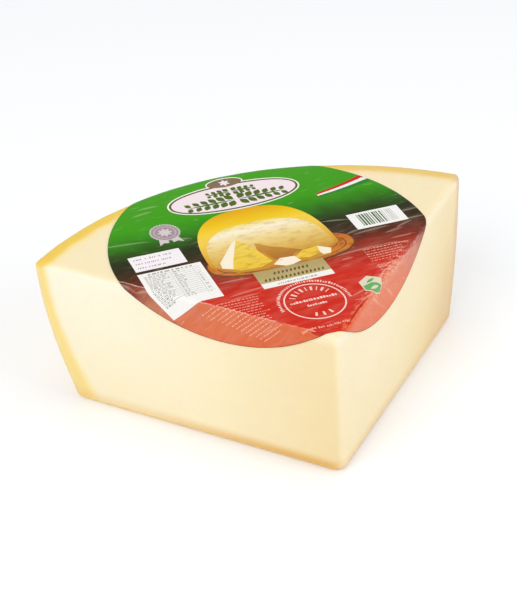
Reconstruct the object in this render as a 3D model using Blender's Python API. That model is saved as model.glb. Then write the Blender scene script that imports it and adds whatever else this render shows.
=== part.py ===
"""A block of grana cheese with the round label that is stuck over its top.

The block is an eighth of a tall wheel: the wheel was halved through its waist and each half cut
into four. So its top and its two side faces are cuts, and only the curved heel at the back and the
base carry rind. The heel leans in towards the base, as a wheel's bulging side does.

The block stands on its base with +Z up. Its tip points to -Y and its heel to +Y, so the YZ plane
halves the angle between the two cut faces. Lengths are in metres and angles in degrees.
"""

import math

import bmesh
import bpy
from mathutils import Vector, geometry

# The wheel that the block was cut from.
HEIGHT = 0.100  # half of the wheel's 200 mm
WAIST_RADIUS = 0.2138  # the wheel's own radius, at the block's top
FACE_RADIUS = 0.1918  # the wheel's flat face, at the block's base
HEEL_BULGE = 0.0043  # how far the heel swells beyond a straight line from top to base
WHEEL_CENTRE = Vector((0.0069, -0.0154))  # in plan, from the corner of the two cuts at the top

# The two upright cuts, and how far each strays from plumb.
CUT_ANGLE = 90.5
TIP_LEAN = Vector((0.0058, 0.0012))  # the tip's foot, in plan, from its corner at the top
LEFT_CUT_TURN = -0.50  # the left cut's direction at the base, against the top
RIGHT_CUT_TURN = -0.92

# Roundings of the edges.
CUT_EDGE_ROUND = 0.0034
WAIST_EDGE_ROUND = 0.0075
BASE_EDGE_ROUND = 0.0039
TIP_ROUND_TOP = 0.0042
TIP_ROUND_BASE = 0.0070
HEEL_CORNER_ROUND_TOP = 0.0060
HEEL_CORNER_ROUND_BASE = 0.0034
LEAST_ROUND = 0.0006

# The label, a round sheet of film whose edge folds down over the cuts and the heel.
LABEL_RADIUS = 0.0994
LABEL_CENTRE = Vector((0.0014, 0.1066))  # laid flat, from the corner of the two cuts at the top
LABEL_THICKNESS = 0.0003
LABEL_GAP = 0.0003

# How finely the curves are divided.
CORNER_POINTS = 7
CUT_FACE_STEPS = 4
HEEL_ARC_POINTS = 28
EDGE_ROUND_STEPS = 6
SIDE_STEPS = 8
LABEL_OUTLINE_POINTS = 96
LABEL_GRID_STEP = 0.012
FOLD_STEPS = 6
FOLD_LINE_STEPS = 18
MERGE_DISTANCE = 1e-6

SHARP_ANGLE = 40.0
CHEESE_COLOUR = (0.92, 0.80, 0.55, 1.0)
CHEESE_ROUGHNESS = 0.45
LABEL_COLOUR = (0.42, 0.06, 0.03, 1.0)
LABEL_ROUGHNESS = 0.3


def direction(angle):
    """The unit vector in plan at an angle in degrees from +X."""
    return Vector((math.cos(math.radians(angle)), math.sin(math.radians(angle))))


def cut_directions(height):
    """The left and right cuts' directions away from the tip, at a height above the base."""
    depth_share = 1.0 - height / HEIGHT
    left = direction(90.0 + CUT_ANGLE / 2 + LEFT_CUT_TURN * depth_share)
    right = direction(90.0 - CUT_ANGLE / 2 + RIGHT_CUT_TURN * depth_share)
    return left, right


def inward_normals(left, right):
    """The normals of the two cuts that point into the cheese."""
    return Vector((left.y, -left.x)), Vector((-right.y, right.x))


def heel_radius(height):
    """The wheel's radius at a height above the base."""
    share = height / HEIGHT
    straight = FACE_RADIUS + (WAIST_RADIUS - FACE_RADIUS) * share
    return straight + 4.0 * HEEL_BULGE * share * (1.0 - share)


def crossing(point_a, direction_a, point_b, direction_b):
    """Where two lines in plan cross, each given by a point and a direction."""
    across = direction_a.x * direction_b.y - direction_a.y * direction_b.x
    gap = point_b - point_a
    return point_a + direction_a * ((gap.x * direction_b.y - gap.y * direction_b.x) / across)


def arc(centre, radius, start, end, count):
    """Points on the shorter arc round centre, from start's side to end's side, both included."""
    first = math.atan2(start.y - centre.y, start.x - centre.x)
    last = math.atan2(end.y - centre.y, end.x - centre.x)
    turn = (last - first + math.pi) % math.tau - math.pi
    steps = [first + turn * i / (count - 1) for i in range(count)]
    return [centre + Vector((math.cos(a), math.sin(a))) * radius for a in steps]


def straight(start, end, steps):
    """The points between start and end, without either."""
    return [start.lerp(end, i / steps) for i in range(1, steps)]


def rounding_at(height, base_round, top_round, inset):
    """An upright edge's rounding at a height, on an outline that is moved inwards by inset."""
    return max(base_round + (top_round - base_round) * height / HEIGHT - inset, LEAST_ROUND)


def heel_corner(start, cut, normal, radius, rounding):
    """Rounds the corner between the heel and a cut that runs from start.

    It gives the rounding's centre, and the points where it meets the cut and the heel.
    """
    start = start + normal * rounding
    offset = start - WHEEL_CENTRE
    along = offset.dot(cut)
    reach = radius - rounding
    middle = start + cut * (math.sqrt(along**2 - offset.dot(offset) + reach**2) - along)
    on_heel = WHEEL_CENTRE + (middle - WHEEL_CENTRE).normalized() * radius
    return middle, middle - normal * rounding, on_heel


def outline(height, cut_inset, heel_inset):
    """The block's outline in plan at a height, with its cuts and its heel moved inwards.

    It runs from the tip along the left cut, round the heel and back along the right cut, and always
    has the same number of points.
    """
    tip = TIP_LEAN * (1.0 - height / HEIGHT)
    left, right = cut_directions(height)
    left_in, right_in = inward_normals(left, right)
    radius = heel_radius(height) - heel_inset
    nose = rounding_at(height, TIP_ROUND_BASE, TIP_ROUND_TOP, cut_inset)
    most_inset = max(cut_inset, heel_inset)
    corner = rounding_at(height, HEEL_CORNER_ROUND_BASE, HEEL_CORNER_ROUND_TOP, most_inset)
    reach = cut_inset + nose
    middle = crossing(tip + left_in * reach, left, tip + right_in * reach, right)
    left_start, right_start = middle - left_in * nose, middle - right_in * nose
    left_middle, left_end, left_heel = heel_corner(
        tip + left_in * cut_inset, left, left_in, radius, corner
    )
    right_middle, right_end, right_heel = heel_corner(
        tip + right_in * cut_inset, right, right_in, radius, corner
    )
    return (
        arc(middle, nose, right_start, left_start, CORNER_POINTS)
        + straight(left_start, left_end, CUT_FACE_STEPS)
        + arc(left_middle, corner, left_end, left_heel, CORNER_POINTS)
        + arc(WHEEL_CENTRE, radius, left_heel, right_heel, HEEL_ARC_POINTS)[1:-1]
        + arc(right_middle, corner, right_heel, right_end, CORNER_POINTS)
        + straight(right_end, right_start, CUT_FACE_STEPS)
    )


def heel_shares():
    """How far each point of the outline belongs to the heel, 0 on the cuts and 1 on the heel."""
    plain = CUT_FACE_STEPS - 1
    rising = [i / (CORNER_POINTS - 1) for i in range(CORNER_POINTS)]
    return (
        [0.0] * (CORNER_POINTS + plain)
        + rising
        + [1.0] * (HEEL_ARC_POINTS - 2)
        + rising[::-1]
        + [0.0] * plain
    )


def profile(top_round):
    """Heights and insets up the block's side, from the flat base round both edges to the top."""
    turns = [math.radians(90.0) * i / EDGE_ROUND_STEPS for i in range(EDGE_ROUND_STEPS + 1)]
    base = [(BASE_EDGE_ROUND * (1 - math.cos(t)), BASE_EDGE_ROUND * (1 - math.sin(t))) for t in turns]
    top = [(HEIGHT - top_round * (1 - math.sin(t)), top_round * (1 - math.cos(t))) for t in turns]
    low, high = base[-1][0], top[0][0]
    side = [(low + (high - low) * i / SIDE_STEPS, 0.0) for i in range(1, SIDE_STEPS)]
    return base + side + top


def cheese_rings():
    """The block's surface as rings of points, from the base to the top."""
    shares = heel_shares()
    rings = []
    for cut_step, heel_step in zip(profile(CUT_EDGE_ROUND), profile(WAIST_EDGE_ROUND)):
        heights, insets = zip(cut_step, heel_step)
        cut_ring, heel_ring = (
            [Vector((point.x, point.y, height)) for point in outline(height, *insets)] for height in heights
        )
        rings.append([a.lerp(b, share) for a, b, share in zip(cut_ring, heel_ring, shares)])
    return rings


def cheese_mesh():
    """The block as one closed mesh."""
    mesh = bpy.data.meshes.new("cheese")
    shape = bmesh.new()
    rings = [[shape.verts.new(point) for point in ring] for ring in cheese_rings()]
    for lower, upper in zip(rings, rings[1:]):
        for i in range(len(lower)):
            after = (i + 1) % len(lower)
            shape.faces.new((lower[i], lower[after], upper[after], upper[i]))
    shape.faces.new(rings[0])
    shape.faces.new(rings[-1])
    bmesh.ops.recalc_face_normals(shape, faces=shape.faces)
    shape.to_mesh(mesh)
    shape.free()
    return mesh


def folds():
    """The three edges that the label folds over, each as a function from a flat point.

    The function gives how far the point lies past the start of the fold, which way is outwards
    there, and how far the upright face below stands out from its place at the top.
    """
    ways = cut_directions(HEIGHT)

    def over_cut(side):
        way, inside = ways[side], inward_normals(*ways)[side]

        def fold(point):
            def stray(height):
                turned = cut_directions(height)[side] - way
                return TIP_LEAN * (1.0 - height / HEIGHT) + turned * point.dot(way)

            return CUT_EDGE_ROUND - point.dot(inside), -inside, stray

        return fold

    def over_heel(point):
        arm = point - WHEEL_CENTRE
        outward = arm.normalized()
        past = arm.length - WAIST_RADIUS + WAIST_EDGE_ROUND
        return past, outward, lambda height: outward * (heel_radius(height) - WAIST_RADIUS)

    return (
        (CUT_EDGE_ROUND, over_cut(0)),
        (CUT_EDGE_ROUND, over_cut(1)),
        (WAIST_EDGE_ROUND, over_heel),
    )


def laid_on_block(point, lift):
    """Where a point of the flat label lies on the block, at a distance lift above the cheese."""
    quarter = math.radians(90.0)
    for edge_round, fold in folds():
        past, outward, stray = fold(point)
        if past > 0:
            bend = edge_round + lift
            turn = min(past / bend, quarter)
            height = HEIGHT - edge_round + bend * math.cos(turn) - max(past - bend * quarter, 0.0)
            plan = point + outward * (bend * math.sin(turn) - past) + stray(min(height, HEIGHT))
            return Vector((plan.x, plan.y, height))
    return Vector((point.x, point.y, HEIGHT + lift))


def heel_line_ends(radius):
    """Where a circle round the wheel's centre crosses the flat label's outline."""
    arm = LABEL_CENTRE - WHEEL_CENTRE
    along = (radius**2 - LABEL_RADIUS**2 + arm.length_squared) / (2.0 * arm.length)
    ahead = arm.normalized()
    aside = Vector((-ahead.y, ahead.x)) * math.sqrt(radius**2 - along**2)
    middle = WHEEL_CENTRE + ahead * along
    return middle + aside, middle - aside


def fold_lines():
    """Lines on the flat label, from edge to edge, that run along its three folds.

    The label's facets keep to them, and so bend where the cheese does.
    """
    quarter = math.radians(90.0)
    shares = [i / FOLD_STEPS for i in range(FOLD_STEPS + 1)]
    ways = cut_directions(HEIGHT)
    lines = []
    for way, inside in zip(ways, inward_normals(*ways)):
        for share in shares:
            off_cut = CUT_EDGE_ROUND * (1.0 - quarter * share)
            middle = way * LABEL_CENTRE.dot(way) + inside * off_cut
            reach = math.sqrt(LABEL_RADIUS**2 - (middle - LABEL_CENTRE).length_squared)
            ends = (middle - way * reach, middle + way * reach)
            lines.append([ends[0], *straight(*ends, FOLD_LINE_STEPS), ends[1]])
    for share in shares:
        radius = WAIST_RADIUS - WAIST_EDGE_ROUND * (1.0 - quarter * share)
        lines.append(arc(WHEEL_CENTRE, radius, *heel_line_ends(radius), FOLD_LINE_STEPS + 1))
    return lines


def label_outline(line_ends):
    """The flat label's round outline, which passes through the ends of the fold lines."""
    even = [direction(360.0 * i / LABEL_OUTLINE_POINTS) * LABEL_RADIUS for i in range(LABEL_OUTLINE_POINTS)]
    least = math.tau * LABEL_RADIUS / LABEL_OUTLINE_POINTS / 3
    arms = [end - LABEL_CENTRE for end in line_ends]
    arms += [arm for arm in even if min((arm - other).length for other in arms) > least]
    arms.sort(key=lambda arm: math.atan2(arm.y, arm.x))
    return [LABEL_CENTRE + arm for arm in arms]


def is_open_ground(point):
    """Whether a point of the flat label is well inside its outline and clear of the folds."""
    margin = LABEL_GRID_STEP / 2
    inside = (point - LABEL_CENTRE).length < LABEL_RADIUS - margin
    for edge_round, fold in folds():
        past = fold(point)[0]
        inside = inside and not -margin < past < edge_round * math.radians(90.0) + margin
    return inside


def label_mesh():
    """The label as an open sheet folded over the block, its facets facing outwards."""
    lines = fold_lines()
    points = label_outline([end for line in lines for end in (line[0], line[-1])])
    edges = [(i, (i + 1) % len(points)) for i in range(len(points))]
    for line in lines:
        edges += [(len(points) + i, len(points) + i + 1) for i in range(len(line) - 1)]
        points += line
    reach = math.ceil(LABEL_RADIUS / LABEL_GRID_STEP)
    steps = [LABEL_GRID_STEP * i for i in range(-reach, reach + 1)]
    ground = [LABEL_CENTRE + Vector((x, y)) for x in steps for y in steps]
    points += [point for point in ground if is_open_ground(point)]
    inside_only = 1
    flat, _, faces, *_ = geometry.delaunay_2d_cdt(points, edges, [], inside_only, MERGE_DISTANCE)
    shape = bmesh.new()
    corners = [shape.verts.new(laid_on_block(point, LABEL_GAP)) for point in flat]
    for face in faces:
        shape.faces.new([corners[i] for i in face])
    loose = [corner for corner in shape.verts if not corner.link_faces]
    bmesh.ops.delete(shape, geom=loose, context="VERTS")
    mesh = bpy.data.meshes.new("label")
    shape.to_mesh(mesh)
    shape.free()
    return mesh


def material(name, colour, roughness):
    """A plain Principled material."""
    made = bpy.data.materials.new(name)
    made.use_nodes = True
    shader = made.node_tree.nodes["Principled BSDF"]
    shader.inputs["Base Color"].default_value = colour
    shader.inputs["Roughness"].default_value = roughness
    shader.inputs["Metallic"].default_value = 0.0
    return made


def add_object(name, mesh, finish):
    """A named object for one piece, shaded smooth up to the sharp angle."""
    piece = bpy.data.objects.new(name, mesh)
    bpy.context.scene.collection.objects.link(piece)
    mesh.materials.append(finish)
    mesh.shade_smooth()
    mesh.set_sharp_from_angle(angle=math.radians(SHARP_ANGLE))
    return piece


def stand_on_origin(pieces):
    """Moves the pieces so that the middle of their common box stands over the origin."""
    scene = bpy.context.evaluated_depsgraph_get()
    corners = [corner for piece in pieces for corner in piece.evaluated_get(scene).bound_box]
    middle = [(min(c[i] for c in corners) + max(c[i] for c in corners)) / 2 for i in (0, 1)]
    for piece in pieces:
        piece.location = (-middle[0], -middle[1], 0.0)


def main():
    """Builds the cheese and its label."""
    for old in list(bpy.data.objects):
        bpy.data.objects.remove(old)
    cheese = add_object("cheese", cheese_mesh(), material("cheese", CHEESE_COLOUR, CHEESE_ROUGHNESS))
    label = add_object("label", label_mesh(), material("label", LABEL_COLOUR, LABEL_ROUGHNESS))
    thickness = label.modifiers.new("thickness", "SOLIDIFY")
    thickness.thickness = LABEL_THICKNESS
    thickness.offset = 1.0
    stand_on_origin((cheese, label))


main()
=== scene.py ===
"""The looks of a block of grana cheese: its paste and rind, and the printed film folded over it.

The block is an eighth of a tall wheel. Its top and its two upright faces are cuts, and only the
curved heel and the base carry rind. A round film is stuck on the top, and its edge folds down over
both cuts and the heel. Everything printed on the film is a field of ink in that one sheet, and so
are the film's painted highlights and painted shadows, so the sheet keeps one smooth surface. The
paste's and the rind's colours carry some painted light as well.

Lengths on the block are in metres. A plan point is measured from the corner of the two cuts at the
top. The print is laid out in millimetres on the flat film, from the film's middle, with x to the
right and y away from the tip.
"""

from __future__ import annotations

import logging
import math
import random
from collections.abc import Iterable, Sequence
from dataclasses import dataclass, field
from enum import Enum

import bmesh
import bpy
from mathutils import Matrix, Vector, geometry, noise


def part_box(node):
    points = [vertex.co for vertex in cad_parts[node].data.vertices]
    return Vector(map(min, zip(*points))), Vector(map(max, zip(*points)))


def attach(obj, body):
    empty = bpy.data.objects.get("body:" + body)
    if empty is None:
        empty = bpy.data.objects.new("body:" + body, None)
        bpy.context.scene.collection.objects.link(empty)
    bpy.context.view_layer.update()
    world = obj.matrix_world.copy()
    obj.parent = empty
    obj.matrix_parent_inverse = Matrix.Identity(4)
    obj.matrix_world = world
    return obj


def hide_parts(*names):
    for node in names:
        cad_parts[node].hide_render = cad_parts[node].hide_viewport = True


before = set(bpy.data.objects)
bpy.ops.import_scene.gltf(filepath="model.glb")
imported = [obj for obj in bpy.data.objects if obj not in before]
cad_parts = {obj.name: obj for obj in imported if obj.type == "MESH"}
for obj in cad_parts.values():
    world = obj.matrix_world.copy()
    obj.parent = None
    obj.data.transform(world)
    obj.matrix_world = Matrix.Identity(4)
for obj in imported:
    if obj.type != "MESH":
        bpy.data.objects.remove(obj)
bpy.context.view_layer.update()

LOG = logging.getLogger("grana_cheese")
MM = 0.001
QUARTER = math.radians(90.0)
BODY = "root"
WHITE_LIGHT = (1.0, 1.0, 1.0, 1.0)

Screen = tuple[int, int, int]
Stops = tuple[tuple[float, Screen], ...]
Loop = list[Vector]
Socket = bpy.types.NodeSocket
Band = tuple[float, float]
Sizes = tuple[float, float, float]
Plain = float | Sequence[float]
Tone = Socket | Sequence[float]


# ---------- small tools


def linear(colour: Screen) -> tuple[float, float, float, float]:
    """A screen colour from 0 to 255 as linear light from 0 to 1, with a full alpha."""
    shares = [c / 255.0 for c in colour]
    return (*(c / 12.92 if c <= 0.04045 else ((c + 0.055) / 1.055) ** 2.4 for c in shares), 1.0)


def direction(angle: float) -> Vector:
    """The unit vector in plan at an angle in degrees from +X."""
    return Vector((math.cos(math.radians(angle)), math.sin(math.radians(angle))))


def smooth(value: float, low: float, high: float) -> float:
    """An even rise from 0 at low to 1 at high."""
    share = min(max((value - low) / (high - low), 0.0), 1.0)
    return share * share * (3.0 - 2.0 * share)


def crossing(point_a: Vector, way_a: Vector, point_b: Vector, way_b: Vector) -> Vector:
    """Finds where two lines in plan cross.

    Args:
        point_a: A point on the first line.
        way_a: The first line's direction.
        point_b: A point on the second line.
        way_b: The second line's direction.

    Returns:
        The point that is on both.
    """
    across = way_a.x * way_b.y - way_a.y * way_b.x
    gap = point_b - point_a
    return point_a + way_a * ((gap.x * way_b.y - gap.y * way_b.x) / across)


def arc(centre: Vector, radius: float, start: Vector, end: Vector, count: int) -> Loop:
    """Points on the shorter arc round a centre.

    Args:
        centre: The arc's middle.
        radius: Its radius.
        start: A point in the direction where it starts.
        end: A point in the direction where it ends.
        count: How many points, both ends included.

    Returns:
        The points in order.
    """
    first = math.atan2(start.y - centre.y, start.x - centre.x)
    last = math.atan2(end.y - centre.y, end.x - centre.x)
    turn = (last - first + math.pi) % math.tau - math.pi
    steps = [first + turn * i / (count - 1) for i in range(count)]
    return [centre + Vector((math.cos(a), math.sin(a))) * radius for a in steps]


def between(start: Vector, end: Vector, steps: int) -> Loop:
    """The points that split a straight line into steps, without its ends."""
    return [start.lerp(end, i / steps) for i in range(1, steps)]


class Graph:
    """A material's node tree, with short ways to add nodes and join them."""

    def __init__(self, name: str) -> None:
        """Starts a material that holds one Principled shader.

        Args:
            name: The material's name.
        """
        self.material = bpy.data.materials.new(name)
        self.material.use_nodes = True
        self.tree = self.material.node_tree
        self.shader = self.tree.nodes["Principled BSDF"]

    def add(self, kind: str, **settings: object) -> bpy.types.Node:
        """Adds a node.

        Args:
            kind: The node's type.
            settings: The properties to set on it.

        Returns:
            The node.
        """
        node = self.tree.nodes.new(kind)
        for name, value in settings.items():
            setattr(node, name, value)
        return node

    def feed(self, target: Socket, value: Socket | Plain) -> None:
        """Joins a socket to the target, or sets the target's own value.

        Args:
            target: The socket that takes the value.
            value: A socket of another node, or a number or colour.
        """
        if isinstance(value, bpy.types.NodeSocket):
            self.tree.links.new(value, target)
        else:
            target.default_value = value

    def finish(self, **values: Socket | Plain) -> bpy.types.Material:
        """Feeds the shader and hands the material over.

        Args:
            values: What each of the shader's sockets gets, by its name with _ for a space.

        Returns:
            The material.
        """
        for name, value in values.items():
            self.feed(self.shader.inputs[name.replace("_", " ")], value)
        return self.material

    def math(self, operation: str, *values: Socket | float) -> Socket:
        """Adds a Math node.

        Args:
            operation: What it does.
            values: The values that it takes.

        Returns:
            Its result.
        """
        node = self.add("ShaderNodeMath", operation=operation)
        for target, value in zip(node.inputs, values):
            self.feed(target, value)
        return node.outputs[0]

    def plus(self, first: Socket, second: Socket | float) -> Socket:
        """The sum of two values."""
        return self.math("ADD", first, second)

    def minus(self, first: Socket, second: Socket | float) -> Socket:
        """The first value less the second."""
        return self.math("SUBTRACT", first, second)

    def times(self, first: Socket, *others: Socket | float) -> Socket:
        """Multiplies values.

        Args:
            first: The first value.
            others: The others.

        Returns:
            The product of all of them.
        """
        for other in others:
            first = self.math("MULTIPLY", first, other)
        return first

    def rise(self, value: Socket, band: Band) -> Socket:
        """A smooth rise from 0 to 1 over a band, which falls where the band starts with its higher value.

        Args:
            value: The value that rises.
            band: Where the result is 0, and where it is 1.

        Returns:
            The share from 0 to 1.
        """
        node = self.add("ShaderNodeMapRange", interpolation_type="SMOOTHSTEP")
        for target, given in zip(node.inputs, (value, *band, 0.0, 1.0)):
            self.feed(target, given)
        return node.outputs[0]

    def about(self, value: Socket, middle: float, band: Band) -> Socket:
        """A smooth rise over a band of distances from a middle value."""
        return self.rise(self.math("ABSOLUTE", self.minus(value, middle)), band)

    def mix(self, share: Socket | float, first: Tone, second: Tone, blend: str = "MIX") -> Socket:
        """Mixes two colours.

        Args:
            share: How much of the second, from 0 to 1.
            first: The first colour.
            second: The second colour.
            blend: How the second acts on the first.

        Returns:
            The mixed colour.
        """
        node = self.add("ShaderNodeMix", data_type="RGBA", blend_type=blend)
        for number, value in ((0, share), (6, first), (7, second)):
            self.feed(node.inputs[number], value)
        return node.outputs[2]

    def tint(self, share: Socket | float, colour: Tone, screen: Screen) -> Socket:
        """A colour mixed by a share with a screen colour."""
        return self.mix(share, colour, linear(screen))

    def ramp(self, value: Socket, stops: Stops) -> Socket:
        """Turns a value into a colour.

        Args:
            value: The value that the ramp reads.
            stops: Pairs of a value and its screen colour, in rising order.

        Returns:
            The colour.
        """
        low, high = stops[0][0], stops[-1][0]
        node = self.add("ShaderNodeValToRGB")
        marks = node.color_ramp.elements
        for mark, (at, colour) in zip(marks, (stops[0], stops[-1])):
            mark.position, mark.color = (at - low) / (high - low), linear(colour)
        for at, colour in stops[1:-1]:
            marks.new((at - low) / (high - low)).color = linear(colour)
        self.feed(node.inputs[0], self.math("DIVIDE", self.minus(value, low), high - low))
        return node.outputs[0]

    def axis(self, where: Socket, name: str) -> Socket:
        """One coordinate of a place.

        Args:
            where: The place.
            name: X, Y or Z.

        Returns:
            The coordinate.
        """
        node = self.add("ShaderNodeSeparateXYZ")
        self.feed(node.inputs[0], where)
        return node.outputs[name]

    def attribute(self, name: str) -> Socket:
        """The value that the mesh keeps under a name."""
        return self.add("ShaderNodeAttribute", attribute_name=name).outputs["Fac"]

    def noise(self, where: Socket, scale: float, detail: float = 3.0) -> Socket:
        """A soft random pattern about 0.5.

        Args:
            where: The place that it is read at.
            scale: How many marks there are to the unit.
            detail: How many finer layers it has.

        Returns:
            The pattern's value.
        """
        node = self.add("ShaderNodeTexNoise")
        for name, value in (("Vector", where), ("Scale", scale), ("Detail", detail)):
            self.feed(node.inputs[name], value)
        return node.outputs[0]

    def drift(self, where: Socket, scale: float, detail: float, reach: float) -> Socket:
        """A soft random pattern about 0 that strays by a half of its reach."""
        return self.times(self.minus(self.noise(where, scale, detail), 0.5), reach)

    def grain(self, where: Socket, sizes: Sizes, turn: float, detail: float) -> Socket:
        """A soft random pattern about 0.5 whose marks have the sizes, along axes turned in degrees."""
        return self.noise(self.stretched(where, sizes, turn), 1.0, detail)

    def stretched(self, where: Socket, sizes: Sizes, turn: float = 0.0) -> Socket:
        """Measures a place in steps of its own along each axis.

        Args:
            where: The place.
            sizes: The step along x, y and z.
            turn: How far the axes are turned about z, in degrees.

        Returns:
            The place in those steps.
        """
        node = self.add("ShaderNodeMapping", vector_type="TEXTURE")
        self.feed(node.inputs["Vector"], where)
        node.inputs["Rotation"].default_value = (0.0, 0.0, math.radians(turn))
        node.inputs["Scale"].default_value = sizes
        return node.outputs[0]

    def bump(self, height: Socket, depth: float, normal: Socket | None = None) -> Socket:
        """Leans the surface with a height.

        Args:
            height: The height, from 0 to 1.
            depth: What a height of 1 stands for, in metres.
            normal: The surface's lean before, if it has one.

        Returns:
            The new normal.
        """
        node = self.add("ShaderNodeBump")
        node.inputs["Strength"].default_value = 1.0
        node.inputs["Distance"].default_value = depth
        self.feed(node.inputs["Height"], height)
        if normal is not None:
            self.feed(node.inputs["Normal"], normal)
        return node.outputs[0]


# ---------- the block


class Side(Enum):
    """The two upright cuts, seen from the tip towards the heel."""

    LEFT = 1.0
    RIGHT = -1.0


@dataclass(frozen=True)
class Swell:
    """The slight unevenness that a wire cut leaves in the paste."""

    broad: float = 0.00028
    broad_size: float = 0.038
    fine: float = 0.00008
    fine_size: float = 0.011
    flat_below: float = 0.008

    def at(self, point: Vector) -> float:
        """How far the surface stands out at a point, fading to nothing at the base.

        Args:
            point: A point of the surface.

        Returns:
            The distance in metres.
        """
        broad = self.broad * noise.noise(point / self.broad_size)
        fine = self.fine * noise.noise(point / self.fine_size)
        return (broad + fine) * smooth(point.z, 0.0, self.flat_below)


@dataclass(frozen=True)
class CutWheel:
    """The block's form: an eighth of a tall wheel that stands on its flat face."""

    height: float
    waist_radius: float = 0.2138
    face_radius: float = 0.1918
    heel_bulge: float = 0.0043
    centre: Vector = field(default_factory=lambda: Vector((0.0069, -0.0154)))
    cut_angle: float = 90.5
    tip_lean: Vector = field(default_factory=lambda: Vector((0.0058, 0.0012)))
    left_turn: float = -0.50
    right_turn: float = -0.92
    cut_edge: float = 0.0034
    waist_edge: float = 0.0075
    base_edge: float = 0.0039
    tip_top: float = 0.0042
    tip_base: float = 0.0070
    corner_top: float = 0.0060
    corner_base: float = 0.0034
    least_round: float = 0.0006
    corner_points: int = 11
    face_steps: int = 72
    heel_points: int = 112
    edge_steps: int = 9
    side_steps: int = 40
    top_rings: int = 36
    base_rings: int = 10
    middle: Vector = field(default_factory=lambda: Vector((0.0, 0.1100)))
    swell: Swell = field(default_factory=Swell)

    def way(self, side: Side, height: float) -> Vector:
        """The direction of a cut away from the tip, at a height above the base.

        Args:
            side: Which cut.
            height: The height above the base.

        Returns:
            A unit vector in plan.
        """
        turn = self.left_turn if side is Side.LEFT else self.right_turn
        depth_share = 1.0 - height / self.height
        return direction(90.0 + side.value * self.cut_angle / 2 + turn * depth_share)

    def inward(self, side: Side, height: float) -> Vector:
        """The normal of a cut that points into the cheese."""
        way = self.way(side, height)
        return Vector((way.y, -way.x)) * side.value

    def radius(self, height: float) -> float:
        """The wheel's radius at a height above the base.

        Args:
            height: The height above the base.

        Returns:
            The radius in metres.
        """
        share = height / self.height
        straight = self.face_radius + (self.waist_radius - self.face_radius) * share
        return straight + 4.0 * self.heel_bulge * share * (1.0 - share)

    def lean(self, height: float) -> Vector:
        """Where the tip stands in plan at a height above the base."""
        return self.tip_lean * (1.0 - height / self.height)

    def rounding(self, base: float, top: float, height: float, inset: float) -> float:
        """An upright edge's rounding at a height, on an outline that is moved inwards."""
        return max(base + (top - base) * height / self.height - inset, self.least_round)

    def back_corner(
        self, side: Side, height: float, cut_inset: float, heel_inset: float
    ) -> tuple[Loop, Vector, Vector]:
        """Rounds the corner between a cut and the heel.

        Args:
            side: Which cut.
            height: The height above the base.
            cut_inset: How far the cut is moved inwards.
            heel_inset: How far the heel is moved inwards.

        Returns:
            The points of the rounding from the cut to the heel, then its first and last point.
        """
        inward, way = self.inward(side, height), self.way(side, height)
        rounding = self.rounding(self.corner_base, self.corner_top, height, max(cut_inset, heel_inset))
        offset = self.lean(height) + inward * (cut_inset + rounding) - self.centre
        along = offset.dot(way)
        radius = self.radius(height) - heel_inset
        reach = radius - rounding
        run = math.sqrt(along**2 - offset.length_squared + reach**2) - along
        middle = self.centre + offset + way * run
        on_cut = middle - inward * rounding
        on_heel = self.centre + (middle - self.centre).normalized() * radius
        return arc(middle, rounding, on_cut, on_heel, self.corner_points), on_cut, on_heel

    def outline(self, height: float, cut_inset: float, heel_inset: float) -> Loop:
        """The block's outline in plan at a height, with its cuts and its heel moved inwards.

        Args:
            height: The height above the base.
            cut_inset: How far the cuts are moved inwards.
            heel_inset: How far the heel is moved inwards.

        Returns:
            Points from the tip along the left cut, round the heel and back along the right cut.
        """
        tip = self.lean(height)
        inward = {side: self.inward(side, height) for side in Side}
        nose = self.rounding(self.tip_base, self.tip_top, height, cut_inset)
        starts = [tip + inward[side] * (cut_inset + nose) for side in Side]
        ways = [self.way(side, height) for side in Side]
        middle = crossing(starts[0], ways[0], starts[1], ways[1])
        left_start = middle - inward[Side.LEFT] * nose
        right_start = middle - inward[Side.RIGHT] * nose
        insets = (cut_inset, heel_inset)
        left_corner, left_end, left_heel = self.back_corner(Side.LEFT, height, *insets)
        right_corner, right_end, right_heel = self.back_corner(Side.RIGHT, height, *insets)
        radius = self.radius(height) - heel_inset
        return (
            arc(middle, nose, right_start, left_start, self.corner_points)
            + between(left_start, left_end, self.face_steps)
            + left_corner
            + arc(self.centre, radius, left_heel, right_heel, self.heel_points)[1:-1]
            + right_corner[::-1]
            + between(right_end, right_start, self.face_steps)
        )

    def heel_shares(self) -> list[float]:
        """How far each point of the outline belongs to the heel, 0 on the cuts and 1 on the heel.

        Returns:
            One share for each point of the outline.
        """
        plain = self.face_steps - 1
        rising = [i / (self.corner_points - 1) for i in range(self.corner_points)]
        heel = [1.0] * (self.heel_points - 2)
        return [0.0] * (self.corner_points + plain) + rising + heel + rising[::-1] + [0.0] * plain

    def profile(self, top_round: float) -> list[tuple[float, float]]:
        """Heights and insets up the side, from the base round both edges to the top.

        Args:
            top_round: The rounding of the top edge.

        Returns:
            A height and an inset for each step.
        """
        turns = [QUARTER * i / self.edge_steps for i in range(self.edge_steps + 1)]
        base = [(self.base_edge * (1 - math.cos(t)), self.base_edge * (1 - math.sin(t))) for t in turns]
        drop = self.height - top_round
        top = [(drop + top_round * math.sin(t), top_round * (1 - math.cos(t))) for t in turns]
        low, high = base[-1][0], top[0][0]
        side = [(low + (high - low) * i / self.side_steps, 0.0) for i in range(1, self.side_steps)]
        return base + side + top

    def rings(self) -> list[Loop]:
        """The side's surface as rings of points, from the base to the top.

        Returns:
            The rings, each in the outline's order.
        """
        shares = self.heel_shares()
        found = []
        for cut_step, heel_step in zip(self.profile(self.cut_edge), self.profile(self.waist_edge)):
            heights, insets = zip(cut_step, heel_step)
            cut, heel = ([Vector((*point, z)) for point in self.outline(z, *insets)] for z in heights)
            found.append([a.lerp(b, share) for a, b, share in zip(cut, heel, shares)])
        return found

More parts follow.
